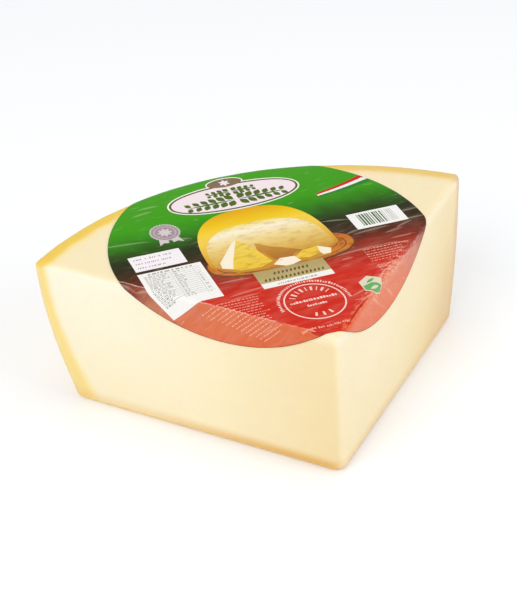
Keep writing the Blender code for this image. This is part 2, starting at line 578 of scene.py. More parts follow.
    def cap(self, rim: Loop, count: int) -> list[Loop]:
        """Rings inside a rim, from just inside it towards the middle.

        Args:
            rim: The rim's points.
            count: How many steps lead to the middle.

        Returns:
            The rings, the outermost first.
        """
        height = rim[0].z
        middle = Vector((*self.middle, height))
        return [[p.lerp(middle, i / count) for p in rim] for i in range(1, count)]

    def mesh(self) -> bpy.types.Mesh:
        """The block as one closed mesh.

        Returns:
            The mesh, with the swell of its cuts.
        """
        shape = bmesh.new()
        sides = self.rings()
        loops = self.cap(sides[0], self.base_rings)[::-1] + sides + self.cap(sides[-1], self.top_rings)
        rings = [[shape.verts.new(point) for point in loop] for loop in loops]
        for lower, upper in zip(rings, rings[1:]):
            for i in range(len(lower)):
                after = (i + 1) % len(lower)
                shape.faces.new((lower[i], lower[after], upper[after], upper[i]))
        for ring in (rings[0][::-1], rings[-1]):
            hub = shape.verts.new(Vector((*self.middle, ring[0].co.z)))
            for i, corner in enumerate(ring):
                shape.faces.new((corner, ring[(i + 1) % len(ring)], hub))
        bmesh.ops.recalc_face_normals(shape, faces=shape.faces)
        shape.normal_update()
        for vertex in shape.verts:
            vertex.co += vertex.normal * self.swell.at(vertex.co)
        mesh = bpy.data.meshes.new("cheese_block")
        shape.to_mesh(mesh)
        shape.free()
        return mesh


@dataclass(frozen=True)
class Tints:
    """How the paste and the rind change over the block, with painted light among the changes: a painted
    highlight along the cuts' top edges, and painted shade towards the right cut's far end and on the
    rind beside the right cut.

    A band is where a change starts and ends. Points are measured from the tip's corner.
    """

    wheel: CutWheel
    shallow_top: float = 0.32
    shallow_foot: float = 0.35
    shallow_top_band: Band = (0.003, 0.0)
    shallow_foot_height: float = 0.85
    left_tip: float = 1.06
    left_fade: Band = (0.0, 0.85)
    left_foot: float = 0.50
    left_foot_band: Band = (0.3, 0.9)
    right_tip: float = 0.50
    right_foot: float = 0.22
    # Partly painted shade: these make the right cut darker towards its far, low end.
    right_far: float = 0.32
    right_far_foot: float = 0.68
    right_band: Band = (0.40, 1.05)
    top: float = 0.66
    top_band: Band = (0.0028, 0.0002)
    # A painted highlight: the paste is painted paler a few millimetres under the cuts' top edges.
    ridge: float = 0.34
    ridge_highlight_start: Band = (0.0004, 0.0022)
    ridge_highlight_end: Band = (0.0035, 0.0085)
    # Where the two cuts' tones meet on the tip's rounding, set to paint where the tip's shade turns.
    tip_shift: float = 0.002
    tip_climb: float = 0.0025
    tip_band: Band = (-0.006, 0.001)
    amber_tip: float = 0.95
    amber_loss: float = 0.62
    amber_band: Band = (0.15, 0.75)
    amber_right: float = 0.38
    amber_tip_band: Band = (-0.001, 0.007)
    # Where the rind's painted shade beside the right cut gives way to gold.
    gilt_start: float = 0.001
    gilt_reach: float = 0.008
    gilt_reach_top: float = 0.004
    gilt_top_band: Band = (0.004, 0.001)
    gilt_loss: float = 0.36
    gilt_turns: Band = (-20.0, 36.0)

    def drop(self, point: Vector) -> float:
        """How far a point lies below the top."""
        return self.wheel.height - point.z

    def rise(self, point: Vector) -> float:
        """How high a point lies, 0 at the base and 1 at the top."""
        return min(max(point.z / self.wheel.height, 0.0), 1.0)

    def run(self, point: Vector) -> float:
        """How far out a point lies, 0 at the wheel's middle and 1 at its heel."""
        return (point.xy - self.wheel.centre).length / self.wheel.waist_radius

    def from_cut(self, side: Side, point: Vector) -> float:
        """How far a point lies behind a cut."""
        return self.wheel.inward(side, point.z).dot(point.xy - self.wheel.lean(point.z))

    def past_tip(self, point: Vector) -> float:
        """How much nearer a point is to the left cut than to the right one, 0 on the tip's edge."""
        return self.from_cut(Side.RIGHT, point) - self.from_cut(Side.LEFT, point)

    def heel_depth(self, point: Vector) -> float:
        """How deep a point seems to lie under the heel's rind, in millimetres.

        The gold under the rind reaches furthest on the top and low down, so the depth counts for less there.

        Args:
            point: The point.

        Returns:
            The depth, scaled to the band half-way up the left cut.
        """
        height = self.wheel.height * self.rise(point)
        depth = self.wheel.radius(height) - (point.xy - self.wheel.centre).length
        on_top = smooth(self.drop(point), *self.shallow_top_band)
        low = 1.0 - smooth(point.z, 0.0, self.wheel.height * self.shallow_foot_height)
        return depth / MM * (1.0 - self.shallow_top * on_top) * (1.0 - self.shallow_foot * low)

    def warmth_and_painted_light(self, point: Vector) -> float:
        """How yellow the paste is: least at the left cut's far end and most at the right cut's.

        Part of it is painted light. The darker end towards the right cut's far, low end paints shade, the
        two cuts' tones meet where the tip's shade turns, and a lower value under the cuts' top edges paints
        a highlight.

        Args:
            point: The point.

        Returns:
            The place on the paste's range of colours.
        """
        run, rise, drop = self.run(point), self.rise(point), self.drop(point)
        low = 1.0 - rise
        left = self.left_tip * (1.0 - smooth(run, *self.left_fade))
        left += self.left_foot * low * smooth(run, *self.left_foot_band)
        right = self.right_tip + self.right_foot * low
        # Partly painted shade: darker towards the right cut's far, low end.
        right += smooth(run, *self.right_band) * (self.right_far + self.right_far_foot * low)
        # The cuts' tones meet where the tip's painted shade turns.
        shift = self.tip_shift + self.tip_climb * rise
        leftness = smooth(self.past_tip(point) - shift, *self.tip_band)
        on_cut = right + (left - right) * leftness
        on_top = smooth(drop, *self.top_band)
        # Painted highlight under the cuts' top edges.
        ridge = smooth(drop, *self.ridge_highlight_start) * (1.0 - smooth(drop, *self.ridge_highlight_end))
        return on_cut + (self.top - on_cut) * on_top - self.ridge * ridge

    def foot(self, point: Vector) -> float:
        """How strong the darker band along the base is: most on the left cut, just short of the tip.

        Args:
            point: The point.

        Returns:
            The share of amber, from 0 to 1.
        """
        left = self.amber_tip - self.amber_loss * smooth(self.run(point), *self.amber_band)
        leftness = smooth(self.past_tip(point), *self.amber_tip_band)
        return self.amber_right + (left - self.amber_right) * leftness

    def gilt(self, point: Vector) -> float:
        """How golden the rind is: painted darker and less golden towards the right cut as painted shade, and
        fuller towards the left one.

        Args:
            point: The point.

        Returns:
            The share of gold, from 0 to 1.
        """
        arm = point.xy - self.wheel.centre
        turn = math.degrees(math.atan2(arm.x, arm.y))
        on_top = smooth(self.drop(point), *self.gilt_top_band)
        reach = self.gilt_reach - self.gilt_reach_top * on_top
        by_cut = smooth(self.from_cut(Side.RIGHT, point), self.gilt_start, reach)
        return by_cut * (1.0 - self.gilt_loss * smooth(turn, *self.gilt_turns))

    def keep_on(self, mesh: bpy.types.Mesh) -> None:
        """Keeps the tints at each point of the block, for its material.

        Args:
            mesh: The block's mesh.
        """
        for rule in (self.heel_depth, self.warmth_and_painted_light, self.foot, self.gilt):
            values = mesh.attributes.new(rule.__name__, "FLOAT", "POINT").data
            values.foreach_set("value", [rule(vertex.co) for vertex in mesh.vertices])


@dataclass(frozen=True)
class PasteFinish:
    """Hard, close-grained paste that turns golden under the rind, and the waxed rind itself."""

    name: str = "grana_paste"
    # The darker end of this range also paints shade at the right cut's far, low end.
    paste: Stops = (
        (0.0, (255, 247, 222)),
        (0.5, (255, 238, 200)),
        (1.0, (245, 223, 173)),
        (1.5, (231, 198, 148)),
    )
    rind: Stops = (
        (0.0, (239, 199, 102)),
        (1.4, (243, 211, 132)),
        (3.0, (247, 220, 150)),
        (4.4, (249, 222, 147)),
        (6.2, (251, 222, 138)),
        (8.4, (253, 226, 150)),
        (10.5, (254, 232, 172)),
        (13.5, (255, 239, 196)),
    )
    # Painted shade: the rind's darker colours beside the right cut, which faces away from the key light.
    shaded_rind: Stops = (
        (0.0, (220, 186, 126)),
        (3.0, (225, 194, 142)),
        (7.0, (230, 201, 157)),
        (13.5, (236, 211, 171)),
    )
    paste_depths: Band = (7.5, 13.5)
    gold: Screen = (243, 202, 62)
    gold_share: float = 0.80
    gold_heights: Band = (95.0, 99.0)
    gold_depths: Band = (9.8, 6.4)
    amber: Screen = (230, 182, 98)
    amber_heights: Band = (11.5, 3.5)
    base_pace: float = 3.0
    base_blend: float = 2.0
    edge_scale: float = 70.0
    edge_drift: float = 2.4
    cloud_scale: float = 26.0
    cloud_warmth: float = 0.22
    cloud_roughness: float = 0.2
    fleck: Screen = (255, 250, 238)
    fleck_scale: float = 900.0
    fleck_band: Band = (0.66, 0.76)
    fleck_share: float = 0.18
    pore_scale: float = 330.0
    pore_depth: float = 0.00018
    skin_sizes: Sizes = (3.0, 3.0, 1.0)
    skin_scale: float = 360.0
    skin_depth: float = 0.0004
    roughness: float = 0.46
    specular: float = 0.35
    soft_weight: float = 0.25
    soft_reach: float = 0.006
    soft_shares: Sizes = (1.0, 0.55, 0.25)

    def material(self) -> bpy.types.Material:
        """The paste's and rind's material.

        Returns:
            The material, which reads the tints that the block keeps.
        """
        graph = Graph(self.name)
        place = graph.add("ShaderNodeTexCoord").outputs["Object"]
        height = graph.times(graph.axis(place, "Z"), 1.0 / MM)
        edge = graph.drift(place, self.edge_scale, 3.0, self.edge_drift)
        heel = graph.plus(graph.attribute("heel_depth"), edge)
        depth = graph.math("SMOOTH_MIN", heel, graph.times(height, self.base_pace), self.base_blend)
        over = graph.times(graph.rise(height, self.gold_heights), graph.rise(heel, self.gold_depths))
        golden = graph.tint(graph.times(over, self.gold_share), graph.ramp(depth, self.rind), self.gold)
        # Beside the right cut the rind takes the painted shade range.
        rind = graph.mix(graph.attribute("gilt"), graph.ramp(depth, self.shaded_rind), golden)
        cloud = graph.drift(place, self.cloud_scale, 4.0, 1.0)
        warmth_and_painted_light = graph.plus(graph.attribute("warmth_and_painted_light"), graph.times(cloud, self.cloud_warmth))
        colour = graph.mix(graph.rise(depth, self.paste_depths), rind, graph.ramp(warmth_and_painted_light, self.paste))
        foot = graph.times(graph.rise(height, self.amber_heights), graph.attribute("foot"))
        colour = graph.tint(foot, colour, self.amber)
        fleck = graph.rise(graph.noise(place, self.fleck_scale, 2.0), self.fleck_band)
        colour = graph.tint(graph.times(fleck, self.fleck_share), colour, self.fleck)
        pores = graph.bump(graph.noise(place, self.pore_scale, 4.0), self.pore_depth)
        skin = graph.noise(graph.stretched(place, self.skin_sizes), self.skin_scale, 5.0)
        return graph.finish(
            Base_Color=colour,
            Roughness=graph.plus(graph.times(cloud, self.cloud_roughness), self.roughness),
            Normal=graph.bump(skin, self.skin_depth, pores),
            Specular_IOR_Level=self.specular,
            Subsurface_Weight=self.soft_weight,
            Subsurface_Radius=self.soft_shares,
            Subsurface_Scale=self.soft_reach,
        )


# ---------- the film


@dataclass(frozen=True)
class Fold:
    """An edge of the block that the film folds over."""

    wheel: CutWheel
    side: Side | None

    @property
    def edge_round(self) -> float:
        """The edge's rounding: a cut's, or the heel's where there is no side."""
        return self.wheel.cut_edge if self.side else self.wheel.waist_edge

    @property
    def bend(self) -> float:
        """How much of the flat film goes round the edge."""
        return self.edge_round * QUARTER

    def past(self, point: Vector) -> float:
        """How far a flat point lies past the start of the fold.

        Args:
            point: A flat plan point.

        Returns:
            The distance, which is below 0 before the fold.
        """
        if self.side:
            return self.edge_round - point.dot(self.wheel.inward(self.side, self.wheel.height))
        return (point - self.wheel.centre).length - self.wheel.waist_radius + self.edge_round

    def outward(self, point: Vector) -> Vector:
        """Which way is outwards from a flat point over the fold.

        Args:
            point: A flat plan point.

        Returns:
            A unit vector in plan.
        """
        if self.side:
            return -self.wheel.inward(self.side, self.wheel.height)
        return (point - self.wheel.centre).normalized()

    def stray(self, point: Vector, height: float) -> Vector:
        """How far the upright face at a height stands out from its place at the top.

        Args:
            point: A flat plan point.
            height: The height above the base.

        Returns:
            The offset in plan.
        """
        wheel = self.wheel
        if self.side:
            way = wheel.way(self.side, wheel.height)
            return wheel.lean(height) + (wheel.way(self.side, height) - way) * point.dot(way)
        return self.outward(point) * (wheel.radius(height) - wheel.waist_radius)


@dataclass(frozen=True)
class Crease:
    """A long soft ridge in the film, in millimetres on the flat film and degrees from x."""

    x: float
    y: float
    length: float
    angle: float
    height: float = 0.12
    width: float = 1.5
    bow: float = 0.02
    reach: float = 3.0

    def sliver(self, thickness: float, steps: int = 8) -> Loop:
        """A thin pointed strip along the ridge's crest.

        Args:
            thickness: The strip's width at its middle.
            steps: How many steps its edges have.

        Returns:
            The strip's outline.
        """
        way = direction(self.angle)
        aside = Vector((-way.y, way.x))
        crest, edge = [], []
        for i in range(steps + 1):
            share = 2.0 * i / steps - 1.0
            taper = 1.0 - share**2
            middle = spot(self.x, self.y) + (way * share / 2 + aside * self.bow * taper) * self.length
            crest.append(middle)
            edge.append(aside * thickness * taper / 2)
        upper = [point + gap for point, gap in zip(crest, edge)]
        lower = [point - gap for point, gap in zip(crest[1:-1], edge[1:-1])]
        return upper + lower[::-1]

    def at(self, x: float, y: float) -> float:
        """The ridge's height in millimetres at a point of the flat film.

        Args:
            x: The point's x.
            y: The point's y.

        Returns:
            The height, which is 0 off the ridge.
        """
        way = direction(self.angle)
        along = (x - self.x) * way.x + (y - self.y) * way.y
        aside = (y - self.y) * way.x - (x - self.x) * way.y
        if abs(aside) > self.reach * self.width or abs(along) > self.length / 2:
            return 0.0
        taper = 1.0 - (2.0 * along / self.length) ** 2
        return self.height * taper * math.exp(-((aside / self.width) ** 2))


@dataclass(frozen=True)
class Patch:
    """One printed field: its ink and the loops round it, in millimetres on the flat film."""

    ink: Ink
    loops: tuple[Loop, ...]


@dataclass(frozen=True)
class Film:
    """The round printed film and how it lies on the block."""

    wheel: CutWheel
    radius: float = 0.0994
    centre: Vector = field(default_factory=lambda: Vector((0.0014, 0.1066)))
    print_middle: Vector = field(default_factory=lambda: Vector((0.0010, 0.1066)))
    print_reach: float = 0.1010
    turn: float = 1.7
    lift: float = 0.00008
    thickness: float = 0.00022
    grid_step: float = 0.0013
    fold_steps: int = 8
    rim_points: int = 480
    curl: float = 0.0005
    curl_reach: float = 0.0035
    curl_band: Band = (0.003, 0.009)
    merge_distance: float = 1e-7
    creases: tuple[Crease, ...] = (
        Crease(-83.0, 31.0, 34.0, -7.0),
        Crease(-49.0, 25.0, 13.0, -12.0),
        Crease(-62.0, 61.0, 15.0, 10.0),
        Crease(-56.0, 67.0, 15.0, 2.0),
        Crease(46.0, 9.5, 19.0, -13.0),
        Crease(94.0, 4.5, 17.0, 3.0, 0.16, 2.4),
        Crease(93.0, -5.0, 15.0, 1.0),
        Crease(51.0, -6.5, 12.0, 16.0),
        Crease(62.0, -9.0, 28.0, 4.0),
        Crease(84.0, -9.5, 14.0, 19.0),
        Crease(75.0, -14.0, 13.0, 8.0),
        Crease(45.0, -27.6, 40.0, 3.0, 0.16, 1.8),
        Crease(69.5, -27.6, 16.0, -12.0),
        Crease(76.0, -22.0, 14.0, 0.0),
        Crease(35.0, -33.0, 9.0, 5.0),
        Crease(32.0, -26.5, 20.0, 20.0),
        Crease(-31.0, -43.5, 30.0, 6.0),
        Crease(-37.0, -48.0, 22.0, 5.0),
        Crease(-36.0, -30.0, 22.0, -3.0),
        Crease(28.0, -68.0, 17.0, 19.0),
        Crease(51.0, -47.5, 9.0, 2.0),
        Crease(60.0, -64.0, 18.0, -6.0),
        Crease(41.0, -74.0, 16.0, -4.0),
        Crease(-96.5, -11.0, 13.0, -60.0, 0.5, 2.2),
        Crease(-89.5, -18.5, 12.0, -28.0, 0.4, 1.8),
    )

    def folds(self) -> tuple[Fold, ...]:
        """The folds over the two cuts and the heel."""
        return Fold(self.wheel, Side.LEFT), Fold(self.wheel, Side.RIGHT), Fold(self.wheel, None)

    def flat(self, point: Vector) -> Vector:
        """A plan point on the block's level for a point of the print in millimetres."""
        return self.print_middle + Matrix.Rotation(math.radians(self.turn), 2) @ (point * MM)

    def printed(self, point: Vector) -> Vector:
        """The point of the print in millimetres for a flat plan point."""
        return Matrix.Rotation(-math.radians(self.turn), 2) @ (point - self.print_middle) / MM

    def rest_height(self, point: Vector) -> float:
        """How far the film's underside stands off the cheese at a flat point.

        Args:
            point: A flat plan point.

        Returns:
            The gap in metres.
        """
        spot = self.printed(point)
        ridges = sum(crease.at(spot.x, spot.y) for crease in self.creases) * MM
        from_rim = self.radius - (point - self.centre).length
        over_cuts = max(fold.past(point) for fold in self.folds()[:2])
        loose = smooth(over_cuts, *self.curl_band) * self.curl
        return self.lift + ridges + loose * math.exp(-from_rim / self.curl_reach)

    def laid(self, point: Vector, lift: float) -> Sizes:
        """Where a flat point lies on the block, round the folds.

        Args:
            point: A flat plan point.
            lift: How far the place stands off the plain cuts.

        Returns:
            The place on the block.
        """
        for fold in self.folds():
            past = fold.past(point)
            if past > 0:
                bend = fold.edge_round + lift
                turn = min(past / bend, QUARTER)
                drop = max(past - bend * QUARTER, 0.0)
                height = self.wheel.height - fold.edge_round + bend * math.cos(turn) - drop
                plan = point + fold.outward(point) * (bend * math.sin(turn) - past)
                return (*(plan + fold.stray(point, min(height, self.wheel.height))), height)
        return (*point, self.wheel.height + lift)

    def on_block(self, point: Vector) -> Vector:
        """Where a flat point of the film's underside lies, over the swell of the paste."""
        below = Vector(self.laid(point, 0.0))
        return Vector(self.laid(point, self.rest_height(point) + self.wheel.swell.at(below)))

    def ground(self) -> Loop:
        """Flat points that divide the film evenly, and closely along each fold.

        Returns:
            The points.
        """
        reach = math.ceil(self.radius / self.grid_step)
        steps = [self.grid_step * i for i in range(-reach, reach + 1)]
        spots = [self.centre + Vector((x, y)) for x in steps for y in steps]
        margin = self.grid_step / 2
        folds = self.folds()
        spots = [s for s in spots if not any(-margin < f.past(s) < f.bend + margin for f in folds)]
        shares = [i / self.fold_steps for i in range(self.fold_steps + 1)]
        for fold in folds[:2]:
            way, outward = self.wheel.way(fold.side, self.wheel.height), fold.outward(self.centre)
            foot = way * self.centre.dot(way)
            for share in shares:
                off = outward * (fold.bend * share - fold.edge_round)
                spots += [foot + off + way * step for step in steps]
        for share in shares:
            radius = self.wheel.waist_radius - self.wheel.waist_edge + folds[2].bend * share
            turns = [math.degrees(step / radius) for step in steps]
            spots += [self.wheel.centre + direction(90.0 + turn) * radius for turn in turns]
        limit = self.radius - self.grid_step / 3
        return [spot for spot in spots if (spot - self.centre).length < limit]

    def divided(self, loop: Iterable[Vector]) -> Loop:
        """A loop of the print as flat plan points, anticlockwise and no further apart than the grid.

        Args:
            loop: The loop's corners, in millimetres.

        Returns:
            The points.
        """
        corners = [self.flat(point) for point in loop]
        area = sum(a.x * b.y - b.x * a.y for a, b in zip(corners, corners[1:] + corners[:1]))
        if area < 0:
            corners.reverse()
        points = []
        for start, end in zip(corners, corners[1:] + corners[:1]):
            steps = max(math.ceil((end - start).length / self.grid_step), 1)
            points += [start, *between(start, end, steps)]
        return points

    def mesh(self, patches: Sequence[Patch]) -> tuple[bpy.types.Mesh, list[Ink]]:
        """Divides the film along its print and lays it on the block.

        Args:
            patches: The printed fields, each over those before it.

        Returns:
            The sheet's mesh and the inks of its material slots in order.
        """
        turns = [360.0 * i / self.rim_points for i in range(self.rim_points)]
        rim = [self.centre + direction(turn) * self.radius for turn in turns]
        points, loops, owners = list(rim), [list(range(self.rim_points))], [0]
        inks = [Ink.GROUND] + [patch.ink for patch in patches]
        for number, patch in enumerate(patches, 1):
            for loop in patch.loops:
                dense = self.divided(loop)
                loops.append(list(range(len(points), len(points) + len(dense))))
                owners.append(number)
                points += dense
        points += self.ground()
        divided = geometry.delaunay_2d_cdt(points, [], loops, 0, self.merge_distance, True)
        flat, _, faces, _, _, inside = divided
        shape = bmesh.new()
        plain, baked = (shape.loops.layers.uv.new(name) for name in ("print", "OFBake"))
        past = [shape.verts.layers.float.new(name) for name in ("past_left", "past_right")]
        from_rim = shape.verts.layers.float.new("from_rim")
        slots = sorted(set(inks), key=lambda ink: ink.value)
        corners = []
        for point in flat:
            vertex = shape.verts.new(self.on_block(point))
            vertex[from_rim] = (self.radius - (point - self.centre).length) / MM
            for layer, fold in zip(past, self.folds()):
                vertex[layer] = fold.past(point) / MM
            corners.append(vertex)
        for face, held_by in zip(faces, inside):
            held = [owners[i] for i in held_by]
            odd = [number for number in set(held) if held.count(number) % 2]
            if 0 not in odd:
                continue
            made = shape.faces.new([corners[i] for i in face])
            made.material_index = slots.index(inks[max(odd)])
            made.smooth = True
            for corner, number in zip(made.loops, face):
                spot = self.printed(flat[number]) * MM / (2.0 * self.print_reach)
                corner[plain].uv = corner[baked].uv = spot + Vector((0.5, 0.5))
        loose = [vertex for vertex in shape.verts if not vertex.link_faces]
        bmesh.ops.delete(shape, geom=loose, context="VERTS")
        mesh = bpy.data.meshes.new("label_film")
        shape.to_mesh(mesh)
        shape.free()
        return mesh, slots


# ---------- the inks


class Ink(Enum):
    """The inks of the print, each with its own finish, with painted highlights and painted shadows among
    them.
    """

    GROUND = 0
    OUTLINE = 1
    PLAQUE = 2
    OLIVE = 3
    LEAF = 4
    MEDAL = 5
    SEAL = 6
    SEAL_PALE = 7
    RED = 8
    WHITE = 9
    GREEN = 10
    BOARD = 11
    BOARD_EDGE = 12
    GOLD = 13
    PASTE = 14
    SHARD_LIGHT = 15
    SHARD = 16
    SHARD_DARK = 17
    BAND = 18
    BAND_MARK = 19
    STAMP = 20
    TABLE = 21
    TABLE_RULE = 22
    DATE = 23
    DATE_MARK = 24
    BARS = 25
    BADGE = 26
    BADGE_GREEN = 27
    SMALL = 28
    # Painted highlights, not print.
    SHEEN = 29
    GLEAM = 30
    SHADE = 31
    # Painted shadows in the film's folds, not print.
    FOLD_SHADOW = 32
    PUCKER_SHADOW = 33


@dataclass(frozen=True)
class PaintedFoldLight:
    """Painted light past the folds: the flaps are painted paler for the glare on the folded film,
    along a crisp line on the left and in crinkles on the right. The left flap is painted darker than
    the right, the left fold and the crinkles near the tip carry painted highlights, and the film's
    edge on the flaps carries a painted shadow.

    Distances and levels are in millimetres. A band is where a change starts and ends.
    """

    left_stray: float = 1.6
    left_scale: float = 0.35
    left_band: Band = (1.2, 2.2)
    # Painted shade: this multiplies the left flap darker than the right.
    left_flap_shade: Screen = (242, 236, 224)
    crinkle_sizes: Sizes = (5.0, 2.2, 1.0)
    crinkle_turn: float = 32.0
    crinkle_stray: float = 16.0
    right_band: Band = (0.0, 3.4)
    late: float = 4.0
    late_levels: Band = (-46.0, -38.0)
    # A painted highlight along the left fold's crease.
    line_middle: float = 1.5
    line_band: Band = (0.45, 0.05)
    line_scale: float = 0.11
    line_patches: Band = (0.34, 0.60)
    crease_highlight_share: float = 0.55
    crease_highlight_colour: Screen = (255, 224, 206)
    # A painted highlight band, painted haze and painted glints by the right fold near the tip.
    lit_middle: float = 4.0
    lit_band: Band = (8.0, 2.0)
    lit_upper: Band = (-24.0, -50.0)
    lit_lower: Band = (-92.0, -60.0)
    haze_band: Band = (0.42, 0.66)
    haze_share: float = 0.34
    glare_colour: Screen = (250, 196, 176)
    web_sizes: Sizes = (7.0, 1.5, 1.0)
    web_turn: float = 38.0
    web_middle: float = 0.52
    web_band: Band = (0.030, 0.004)
    crinkle_glint_share: float = 0.42
    crinkle_glint_colour: Screen = (255, 226, 212)
    # A painted shadow along the film's edge on the flaps.
    edge_shadow_band: Band = (1.0, 0.2)
    edge_shadow_share: float = 0.55
    edge_shadow_colour: Screen = (120, 52, 34)

    def over(self, graph: Graph, place: Socket, level: Socket, colour: Socket, pale: Socket) -> Socket:
        """Paints glare, highlights and shade on the print past the folds.

        Args:
            graph: The ink's material.
            place: Where a point is on the print, in millimetres.
            level: Its y.
            colour: The ink's colour on the flat.
            pale: The ink's colour on the flaps, painted paler for the glare there.

        Returns:
            The colour with the flaps' painted glare and shade, and the painted highlights and shadow at the
            folds.
        """
        drift = graph.drift(place, self.left_scale, 4.0, self.left_stray)
        left = graph.plus(graph.attribute("past_left"), drift)
        right = graph.attribute("past_right")
        crinkle = graph.grain(place, self.crinkle_sizes, self.crinkle_turn, 5.0)
        stray = graph.times(graph.minus(crinkle, 0.5), self.crinkle_stray)
        late = graph.times(graph.rise(level, self.late_levels), self.late)
        # Past the folds the print is painted paler for the glare on the folded film.
        below_left = graph.rise(left, self.left_band)
        below_right = graph.rise(graph.minus(graph.plus(right, stray), late), self.right_band)
        below = graph.math("MAXIMUM", below_left, below_right)
        # Painted shade: the left flap is painted darker than the right.
        pale = graph.mix(below_left, pale, linear(self.left_flap_shade), "MULTIPLY")
        colour = graph.mix(below, colour, pale)
        # A painted highlight along the left fold's crease, in patches.
        line = graph.about(left, self.line_middle, self.line_band)
        highlight_patches = graph.rise(graph.noise(place, self.line_scale, 3.0), self.line_patches)
        colour = graph.tint(graph.times(line, highlight_patches, self.crease_highlight_share), colour, self.crease_highlight_colour)
        # A painted highlight band by the right fold near the tip, with painted haze and glints on its
        # crinkles.
        lit = graph.times(graph.rise(level, self.lit_upper), graph.rise(level, self.lit_lower))
        lit = graph.times(graph.about(right, self.lit_middle, self.lit_band), lit)
        haze = graph.times(graph.rise(crinkle, self.haze_band), lit, self.haze_share)
        colour = graph.tint(haze, colour, self.glare_colour)
        fine = graph.grain(place, self.web_sizes, self.web_turn, 2.0)
        web = graph.about(fine, self.web_middle, self.web_band)
        colour = graph.tint(graph.times(web, lit, self.crinkle_glint_share), colour, self.crinkle_glint_colour)
        # A painted shadow along the film's edge on the flaps.
        hem = graph.rise(graph.attribute("from_rim"), self.edge_shadow_band)
        return graph.tint(graph.times(hem, below, self.edge_shadow_share), colour, self.edge_shadow_colour)


@dataclass(frozen=True)
class Scuffs:
    """Painted reflections on the film: a soft painted haze, and fine pale painted glints in two directions,
    in patches. Sizes are in millimetres.
    """

    # A painted haze of reflection on the film.
    haze_sizes: Sizes = (16.0, 5.0, 1.0)
    haze_turn: float = 8.0
    haze_band: Band = (0.38, 0.72)
    haze_levels: Band = (30.0, -40.0)
    haze_share: float = 0.26
    glare_colour: Screen = (255, 214, 190)
    # Painted glints in two directions, in patches.
    patch_scale: float = 0.035
    patch_band: Band = (0.40, 0.60)
    turns: tuple[float, ...] = (6.0, -13.0)
    sizes: tuple[Sizes, ...] = ((17.0, 0.75, 1.0), (9.0, 0.55, 1.0))
    bands: tuple[Band, ...] = ((0.62, 0.78), (0.66, 0.82))
    colour: Screen = (255, 240, 228)

    def over(self, graph: Graph, place: Socket, level: Socket, colour: Tone, strength: float) -> Socket:
        """Paints the film's haze and glints over the print.

        Args:
            graph: The ink's material.
            place: Where a point is on the print, in millimetres.
            level: Its y.
            colour: The ink's colour.
            strength: How strong the painted glints are, from 0 to 1.

        Returns:
            The colour with the painted haze and glints.
        """
        haze = graph.rise(graph.grain(place, self.haze_sizes, self.haze_turn, 4.0), self.haze_band)
        haze = graph.times(haze, graph.rise(level, self.haze_levels), self.haze_share * strength)
        colour = graph.tint(haze, colour, self.glare_colour)
        patchy = graph.rise(graph.noise(place, self.patch_scale, 2.0), self.patch_band)
        for turn, sizes, band in zip(self.turns, self.sizes, self.bands):
            scuffs = graph.rise(graph.grain(place, sizes, turn, 2.0), band)
            colour = graph.tint(graph.times(scuffs, patchy, strength), colour, self.colour)
        return colour


@dataclass(frozen=True)
class InkFinish:
    """Ink under a glossy film: its colour along y, its colour past the folds painted paler for the glare
    there, and the painted haze and glints of the film's reflections.
    """

    ink: Ink
    stops: Stops
    flap: Stops | None = None
    flap_stray: float = 14.0
    flap_scale: float = 0.06
    mottle: float = 0.0
    mottle_size: float = 6.0
    mottle_stretch: Sizes = (2.2, 1.0, 1.0)
    mottle_band: Band = (0.45, 0.75)
    mottle_colour: Screen = (120, 80, 30)
    highlight_share: float = 0.0
    highlight_colour: Screen = (252, 236, 212)
    glint_strength: float = 0.26
    crumple_scale: float = 0.30
    crumple_depth: float = 0.00022
    ripple_sizes: Sizes = (20.0, 1.2, 1.0)
    ripple_turn: float = 5.0
    ripple_depth: float = 0.00014
    roughness: float = 0.30
    specular: float = 0.10

    def shade(self, graph: Graph, level: Socket) -> Tone:
        """The ink's colour at a level of the print, from one stop or several."""
        return linear(self.stops[0][1]) if len(self.stops) == 1 else graph.ramp(level, self.stops)

    def material(self, film: Film) -> bpy.types.Material:
        """The ink's material.

        Args:
            film: The film that the ink is under.

        Returns:
            The material, which reads the print's map and how far the folds are.
        """
        graph = Graph(f"print_{self.ink.name.lower()}")
        span = 2.0 * film.print_reach / MM
        node = graph.add("ShaderNodeMapping")
        graph.feed(node.inputs["Vector"], graph.add("ShaderNodeUVMap", uv_map="print").outputs[0])
        node.inputs["Location"].default_value = (-span / 2, -span / 2, 0.0)
        node.inputs["Scale"].default_value = (span, span, 1.0)
        place = node.outputs[0]
        level = graph.axis(place, "Y")
        if self.flap:
            level = graph.plus(level, graph.drift(place, self.flap_scale, 3.0, self.flap_stray))
        colour = self.shade(graph, level)
        if self.mottle:
            spots = graph.noise(graph.stretched(place, self.mottle_stretch), 1.0 / self.mottle_size, 5.0)
            share = graph.times(graph.rise(spots, self.mottle_band), self.mottle)
            colour = graph.tint(share, colour, self.mottle_colour)
        # Past the folds: painted glare, painted highlights and painted shade.
        if self.flap:
            colour = PaintedFoldLight().over(graph, place, level, colour, graph.ramp(level, self.flap))
        # A pale painted highlight over the whole sliver, for the SHEEN and GLEAM inks.
        if self.highlight_share:
            colour = graph.tint(self.highlight_share, colour, self.highlight_colour)
        crumple = graph.bump(graph.noise(place, self.crumple_scale, 4.0), self.crumple_depth)
        ripple = graph.grain(place, self.ripple_sizes, self.ripple_turn, 3.0)
        # The base colour gets the painted haze and glints of the film's reflections.
        return graph.finish(
            Base_Color=Scuffs().over(graph, place, level, colour, self.glint_strength),
            Normal=graph.bump(ripple, self.ripple_depth, crumple),
            Roughness=self.roughness,
            Specular_IOR_Level=self.specular,
        )


